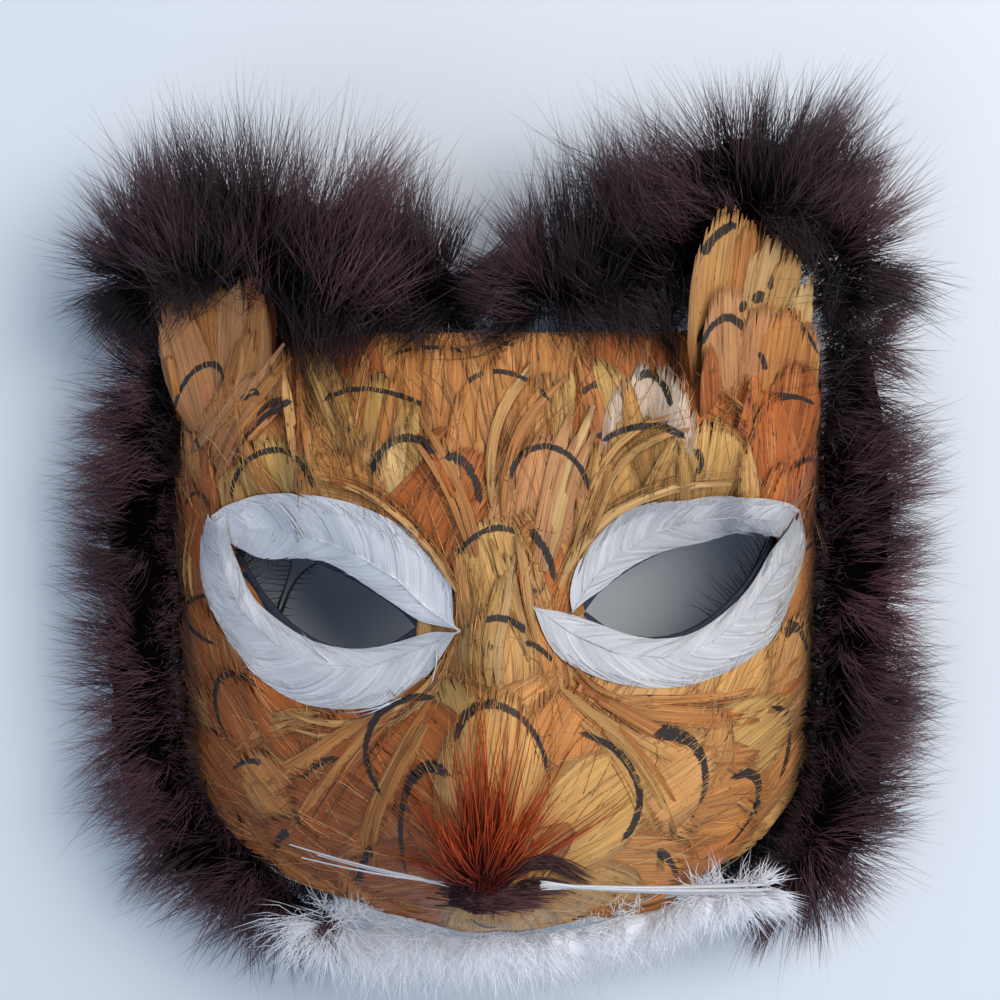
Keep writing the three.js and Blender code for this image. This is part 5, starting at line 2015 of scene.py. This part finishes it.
def tucked(heap, pixels, height, first, last, length, count, thick, seed):
    """Short plumes behind the ears and along the coat's edge, which close the gaps there."""
    random = np.random.default_rng(seed)
    t = random.random(count)
    root = line_through([seen_level(pixel, height, 0) for pixel in pixels], t)
    heading = np.radians(first + (last - first) * t + 34 * random.normal(size=count))
    reach = length * (0.6 + 0.6 * random.random((count, 1)))
    way = np.stack([np.cos(heading), np.sin(heading), 0.35 * random.normal(size=count)], -1)
    root = root - 2 * way + 1.5 * random.normal(size=(count, 3))
    bent = 0.12 * reach * random.normal(size=(count, 3))
    lines = np.stack([root, root + 0.5 * way * reach + bent, root + way * reach], 1)
    lines[..., 2] = np.maximum(lines[..., 2], LOWEST)
    # the tucked barbs are painted dark: a painted shade for the gaps between the coat, the ears and the
    # plumes
    tint = 0.1 + 0.25 * random.random((count, 1))
    strands(heap, DOWN, lines, thick * np.array([1.0, 0.8, 0]), tint=tint)


print(sum(line[-2] for line in TUCKED), "tucked barbs")

# %% [markdown]
# ## Building the mane
#
# Each strip becomes one mesh of tucked barbs and plumes, which stands for its node, and one
# core. There are as many plumes as keep the whole mask under a million triangles.

# %% Building the four strips
PLUMES, BARBS_EACH = 400, 25
for number, (name, path) in enumerate(MANE.items()):
    heap = Heap()
    for seed, (strip, *details) in enumerate(TUCKED):
        if strip == name:
            tucked(heap, *details, seed=560 + seed)
    flat, inner, rooted, light = FULLNESS[name]
    plumes(
        heap, path, PLUMES, BARBS_EACH, seed=500 + number, flat=flat, thick=0.106, size=1.08,
        inner=inner, rooted=rooted, light=light,
    )
    if name == "mane_right":
        across_ear(heap)
    piece_of(heap, name + "_plumes", marabou, "mane_marabou", name)
    core(name + "_core", path, core_painted_shade, 0.42, flat * 0.8, shifted=0.22)
    print(name, pieces[name + "_plumes"], "triangles")

# %% [markdown]
# ## Mane barbs behind the eyes
#
# Dark barbs show through the openings. They are combs: a stem on a level plane under the
# shell, with nearly straight barbs to one side.

# %% Loose mane barbs that show through the eyes
# stem by pixels of the photograph, first and last heading of its barbs, their length, how many
EYE_COMBS = [
    ([(715, 624), (742, 598), (762, 572), (779, 540)], 152, 106, 40, 26),
    ([(268, 648), (276, 612), (287, 580), (293, 556)], 184, 172, 30, 16),
    ([(276, 628), (291, 588), (308, 568), (330, 558)], -14, -6, 22, 14),
    ([(229, 560), (238, 580), (250, 604), (268, 628)], 40, 8, 26, 40),
    ([(240, 548), (256, 550), (272, 553)], 250, 290, 20, 30),
]
BEHIND = 32
heap = Heap()
random = np.random.default_rng(520)
for pixels, first, last, length, count in EYE_COMBS:
    places = [seen_level(pixel, BEHIND) for pixel in pixels]
    stem = line_through(places, np.linspace(0, 1, SHAFT.levels + 1))
    strands(heap, SHAFT, stem[None], np.linspace(0.5, 0.25, SHAFT.levels + 1), tint=[[0.1]])
    root = line_through(places, np.linspace(0.02, 0.98, count))
    heading = np.radians(np.linspace(first, last, count) + 5 * random.normal(size=count))
    reach = length * 0.26 * (0.7 + 0.4 * random.random((count, 1)))
    way = np.stack([np.cos(heading), np.sin(heading), 0.25 * random.normal(size=count)], -1)
    ends = root + way * reach
    middle = (root + ends) / 2 + 0.05 * reach * random.normal(size=(count, 3))
    strands(heap, DOWN, np.stack([root, middle, ends], 1), np.array([0.15, 0.1, 0]), tint=[[0.3]])
piece_of(heap, "eye_combs", marabou, "mane_marabou")
print(len(EYE_COMBS), "combs behind the eyes")

# %% [markdown]
# ## The chin
#
# The chin has a strip of white marabou. It is made as the mane is, with thicker and looser
# barbs that spread more widely, since white down is fluffier and scatters more light.

# %% The chin
CHIN_TUFT = [
    (-53, -91, 30, 13), (-33, -91, 39, 14), (-12, -90, 46, 14), (10, -89, 47, 12),
    (34, -86, 44, 12), (56, -82, 38, 11), (73, -81, 32, 8),
]
heap = Heap()
# the chin's core and plumes take the glowing down: a painted light
core("chin_tuft_core", CHIN_TUFT, down, 0.36, 9, shifted=-0.2)
plumes(
    heap, CHIN_TUFT, 230, BARBS_EACH, seed=540, spread=(-60, 140), flat=11, thick=0.13,
    size=1.5, loose=0.3, sweep=0.4, rooted=0.1,
)
piece_of(heap, "chin_tuft_plumes", down, "white_marabou", "chin_tuft")
print("chin", pieces["chin_tuft_plumes"], "triangles")

# %% [markdown]
# ## The nose
#
# A rust hackle fans out over the muzzle from a small plum pad of down. Its fibres leave one
# place in bunches, each aimed at a pixel of the photograph, and droop back to the coat.

# %% The hackle's fan
NOSE_FOOT = on_face(-3, -62.5, 3)


def arched(start, ends, bows, levels, power=1.0):
    """Lines from one place to each end, arched upwards."""
    t = np.linspace(0, 1, levels + 1)[None, :, None]
    rise = bows[:, None, None] * np.sin(pi * t) * np.array([0, 0, 1])
    return start + (ends[:, None] - start) * t**power + rise


random = np.random.default_rng(600)
heap = Heap()
foot = NOSE_FOOT + np.array([0, 1.5, 3.4])
TUFTS = [
    (388, 842), (403, 780), (417, 796), (431, 779), (446, 724), (458, 744), (476, 701), (480, 715),
    (498, 729), (514, 712), (525, 719), (562, 737), (575, 750), (600, 787), (612, 800), (440, 806),
    (470, 790), (492, 790), (520, 800), (548, 800), (560, 826), (430, 840),
]
lines = []
for number, pixel in enumerate(TUFTS):
    count = 9 if number < 15 else 20
    target = seen_on_face(*pixel, lift=3)
    aim = target - foot[:2]
    ends = foot[:2] + aim * (0.80 + 0.5 * random.random((count, 1)))
    ends = ends + 1.5 * random.normal(size=(count, 2))
    lift = (2.0 + 4.5 * random.random()) * (0.8 + 0.4 * random.random(count))
    ends = on_face(ends[:, 0], ends[:, 1], lift)
    tuft = arched(foot, ends, 1.0 + 3 * random.random(count), BARB.levels)
    side = random.normal(size=(count, 1, 3)) * [1.7, 0.9, 0.5]
    swell = np.sin(pi * np.linspace(0, 1, BARB.levels + 1) ** 0.8)[None, :, None]
    tuft = tuft + side * swell
    tuft[:, 0] = foot + random.normal(size=(count, 3)) * [1.5, 0.7, 0.5]
    lines.append(tuft)
lines = np.concatenate(lines)
strands(heap, BARB, lines, np.array([0.24, 0.2, 0.14, 0.02]), tint=random.random((len(lines), 1)))
piece_of(heap, "nose_hackle_fan", hackle, "rust_hackle", "nose_hackle")
print(len(lines), "fibres in the hackle")

# %% [markdown]
# ## The nose pad
#
# The pad is a ball of plum down with wings of the same down to both sides. Short arched
# fibres grow out of a soft body, and the wings follow lines through pixels.

# %% The pad's fibres and wings
PAD_CENTRE, PAD_RADII = on_face(-3, -64.5, 4.0), np.array([6.4, 2.4, 1.5])
heap = Heap()
count = 420
spots = random.normal(size=(count, 2)) * [4.6, 1.3]
root = PAD_CENTRE + np.stack([spots[:, 0], spots[:, 1], 1.4 - 0.02 * spots[:, 0] ** 2], -1)
sweep = [3 + 9 * random.random(count), -1.5 + 2.6 * random.random(count), -1.2 * random.random(count)]
sweep = np.stack(sweep, -1)
lines = arched(np.zeros(3), sweep, 0.8 * random.random(count), BARB.levels) + root[:, None]
strands(heap, BARB, lines, np.array([0.22, 0.2, 0.12, 0]), tint=random.random((count, 1)))
# wings of the same down: line by pixels, width at both ends, how many
WINGS = [
    ([(500, 886), (522, 868), (552, 862), (590, 880), (616, 894)], (8, 22), 70),
    ([(510, 890), (535, 884), (562, 888), (590, 896)], (10, 20), 50),
    ([(496, 892), (470, 888), (446, 884), (424, 872)], (10, 26), 70),
    ([(470, 880), (452, 896), (470, 908), (500, 906), (540, 898)], (8, 10), 60),
]
for path, spread, many in WINGS:
    for _ in range(many):
        first = 0.4 * random.random()
        u = first + (0.35 + 0.25 * random.random()) * np.linspace(0, 1, BARB.levels + 1)
        along = unit(line_through(path, u + 0.02) - line_through(path, u - 0.02))
        width = spread[0] + (spread[1] - spread[0]) * u
        beside = (random.uniform(-0.5, 0.5) * width)[:, None] * np.stack([-along[:, 1], along[:, 0]], -1)
        pixels = line_through(path, u) + beside
        ways = np.array([ray(*pixel) for pixel in pixels])
        skin = np.array([on_face(*seen_on_face(*pixel), 1.5) for pixel in pixels])
        reach = ((skin - EYE) * ways).sum(1) / (ways * ways).sum(1)
        lifted = EYE + ways * (reach - 3.6 - 1.8 * random.random() * np.sin(pi * u))[:, None]
        strands(heap, BARB, lifted[None], np.array([0.2, 0.18, 0.12, 0]), tint=random.random((1, 1)))
piece_of(heap, "nose_pad_fibres", plum, "nose_pad", "nose_pad")
print("the pad's fibres have", pieces["nose_pad_fibres"], "triangles")

# %% [markdown]
# ## The body of the nose pad
#
# Under its fibres the pad is a flattened ball with a slightly uneven surface.

# %% The pad's body
add = bpy.ops.mesh.primitive_uv_sphere_add
pad = primitive(add, "nose_pad_body", segments=32, ring_count=16, radius=1)
ball = corners_of(pad)
ball *= PAD_RADII * (1 + 0.05 * np.sin(9 * ball[:, :1]) * np.cos(7 * ball[:, 1:2]))
move_corners(pad, ball + PAD_CENTRE)
bpy.ops.object.shade_smooth()
pad_finish = mottled(
    "plum_pad", {"Roughness": 0.5, "Sheen Weight": 0.3}, rgba(44, 24, 26), rgba(98, 62, 62),
    detail=3, stretch=(300, 1400, 1400), bump=(0.0004, 0.6),
)
finish_piece(pad, pad_finish, [])
print("the pad is", 2 * PAD_RADII, "mm")

# %% [markdown]
# ## The whiskers
#
# The whiskers are quills stripped of their barbs, bundled at the nose: nine bright, thick ones
# on the right and three thin ones on the left. Each is a round fibre, arched a little.

# %% The quills, by their tips
QUILLS = {
    "left_whiskers": (-1, [(-51, -58, 64), (-48, -61, 65), (-44, -60, 66)]),
    "right_whiskers": (1, [
        (66, -69, 62), (67, -72, 60), (63, -71, 60), (60, -70, 62), (68, -70.5, 61),
        (64, -69.5, 61), (58, -71, 61), (66, -70.5, 62), (62, -69.5, 60),
    ]),
}
for name, (side, tips) in QUILLS.items():
    heap = Heap()
    tips = np.array(tips, float)
    start = on_face(NOSE_FOOT[0] + (13 if side > 0 else -9), -62, 4.2)
    lines = arched(start, tips, np.full(len(tips), 2.0), QUILL.levels)
    lines[:, 0] += random.normal(size=(len(tips), 3)) * [0.4, 0.7, 0.3]
    radii = np.interp(np.arange(QUILL.levels + 1), [0, 1, 6], [0.12, 0.42, 0.3])
    strands(heap, QUILL, lines, radii * (1 if side > 0 else 0.6))
    piece_of(heap, name + "_quills", quill, "quill", name, sharp=60)
    print(name, len(tips), "quills")

# %% [markdown]
# ## The shell
#
# The shell is pressed pulp, rough inside, and painted a dark blue-grey there: a painted shade
# for the dark hollow under the mask. The CAD node has flat facets, so a copy of it is cut finer
# and each corner is moved onto the smooth face or onto its inner side, two millimetres down.
# The rim that lies on the table stays as it is.

# %% The shell, smoothed
PULP = 2
bpy.ops.object.select_all(action="DESELECT")
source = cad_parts["mask_shell"]
shell = bpy.data.objects.new("shell_smooth", source.data.copy())
bpy.context.scene.collection.objects.link(shell)
bpy.context.view_layer.objects.active = shell
shell.select_set(True)
bpy.ops.object.mode_set(mode="EDIT")
bpy.ops.mesh.select_all(action="SELECT")
bpy.ops.mesh.remove_doubles(threshold=1e-6)
bpy.ops.mesh.subdivide(number_cuts=2)
bpy.ops.object.mode_set(mode="OBJECT")
places = corners_of(shell) / MM - SHIFT
x, y, z = places.T
depth = np.clip((face_height(x, y) - z) / (PULP * steepness(x, y)), 0, 1)
depth = smooth(0.25, 0.75, depth)
moved = face_height(x, y) - PULP * steepness(x, y) * depth
z = np.where(z > 0.6, np.maximum(moved, 0.0), z)
move_corners(shell, np.stack([x, y, z], -1))
shell.data.polygons.foreach_set("use_smooth", np.ones(len(shell.data.polygons), bool))
shell.data.set_sharp_from_angle(angle=radians(45))
pulp_paint = Paint("pressed_pulp", {"Roughness": 0.9})
fibres = pulp_paint.noise(pulp_paint.object_place(), 420, 5, 0.75)
clumps = pulp_paint.noise(pulp_paint.object_place(), 90, 3)
# the pulp's dark blue-grey is painted shade
pulp_with_painted_shade = pulp_paint.feed(
    Base_Color=pulp_paint.mix(fibres * 0.7 + clumps * 0.3, rgba(24, 27, 36), rgba(62, 68, 82)),
    Normal=pulp_paint.bumped(fibres + clumps, 0.0006, 0.7),
)
finish_piece(shell, pulp_with_painted_shade, ["mask_shell"])
print("shell", pieces["shell_smooth"], "triangles")

# %% [markdown]
# ## The floor and the light
#
# The photograph was taken by a window: soft, cool light, stronger from the viewer's right.
# A large plain floor, a pale sky and two broad lamps give that.

# %% Floor, sky and lamps
floor = primitive(bpy.ops.mesh.primitive_plane_add, "floor", size=6)
floor_plain = {"Roughness": 0.75, "Specular IOR Level": 0.2}
floor.data.materials.append(
    mottled("floor", floor_plain, rgba(226, 230, 230), rgba(234, 237, 237), scale=9, detail=3)
)
floor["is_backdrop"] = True

world = bpy.data.worlds.new("sky")
bpy.context.scene.world = world
world.use_nodes = True
world.node_tree.nodes["Background"].inputs["Color"].default_value = rgba(188, 211, 250)
world.node_tree.nodes["Background"].inputs["Strength"].default_value = 0.46


def lamp(name, place, size, watts, tone):
    data = bpy.data.lights.new(name, "AREA")
    data.size, data.energy, data.color = size, watts, tuple(tone)
    lamp = bpy.data.objects.new(name, data)
    lamp.location = place
    lamp.rotation_euler = (Vector((0, 0, 0.03)) - Vector(place)).to_track_quat("-Z", "Y").to_euler()
    bpy.context.scene.collection.objects.link(lamp)


lamp("window", (0.58, 0.42, 0.86), 0.75, 11.2, colour(253, 250, 249))
lamp("room", (-0.8, -0.4, 0.9), 1.2, 3.2, colour(236, 242, 255))
bpy.context.scene.view_settings.view_transform = "Standard"
bpy.context.scene.view_settings.look = "None"

# %% Sizes, and the end
visual_box = [list(corner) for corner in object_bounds()]
sizes = {"cad": cad_box, "visual": visual_box}
largest = max(pieces, key=pieces.get)
print("triangles in all", sum(pieces.values()), "largest", largest, pieces[largest])
for key, (low, high) in sizes.items():
    print(key, [round(1000 * (h - l), 1) for l, h in zip(low, high)], "mm")
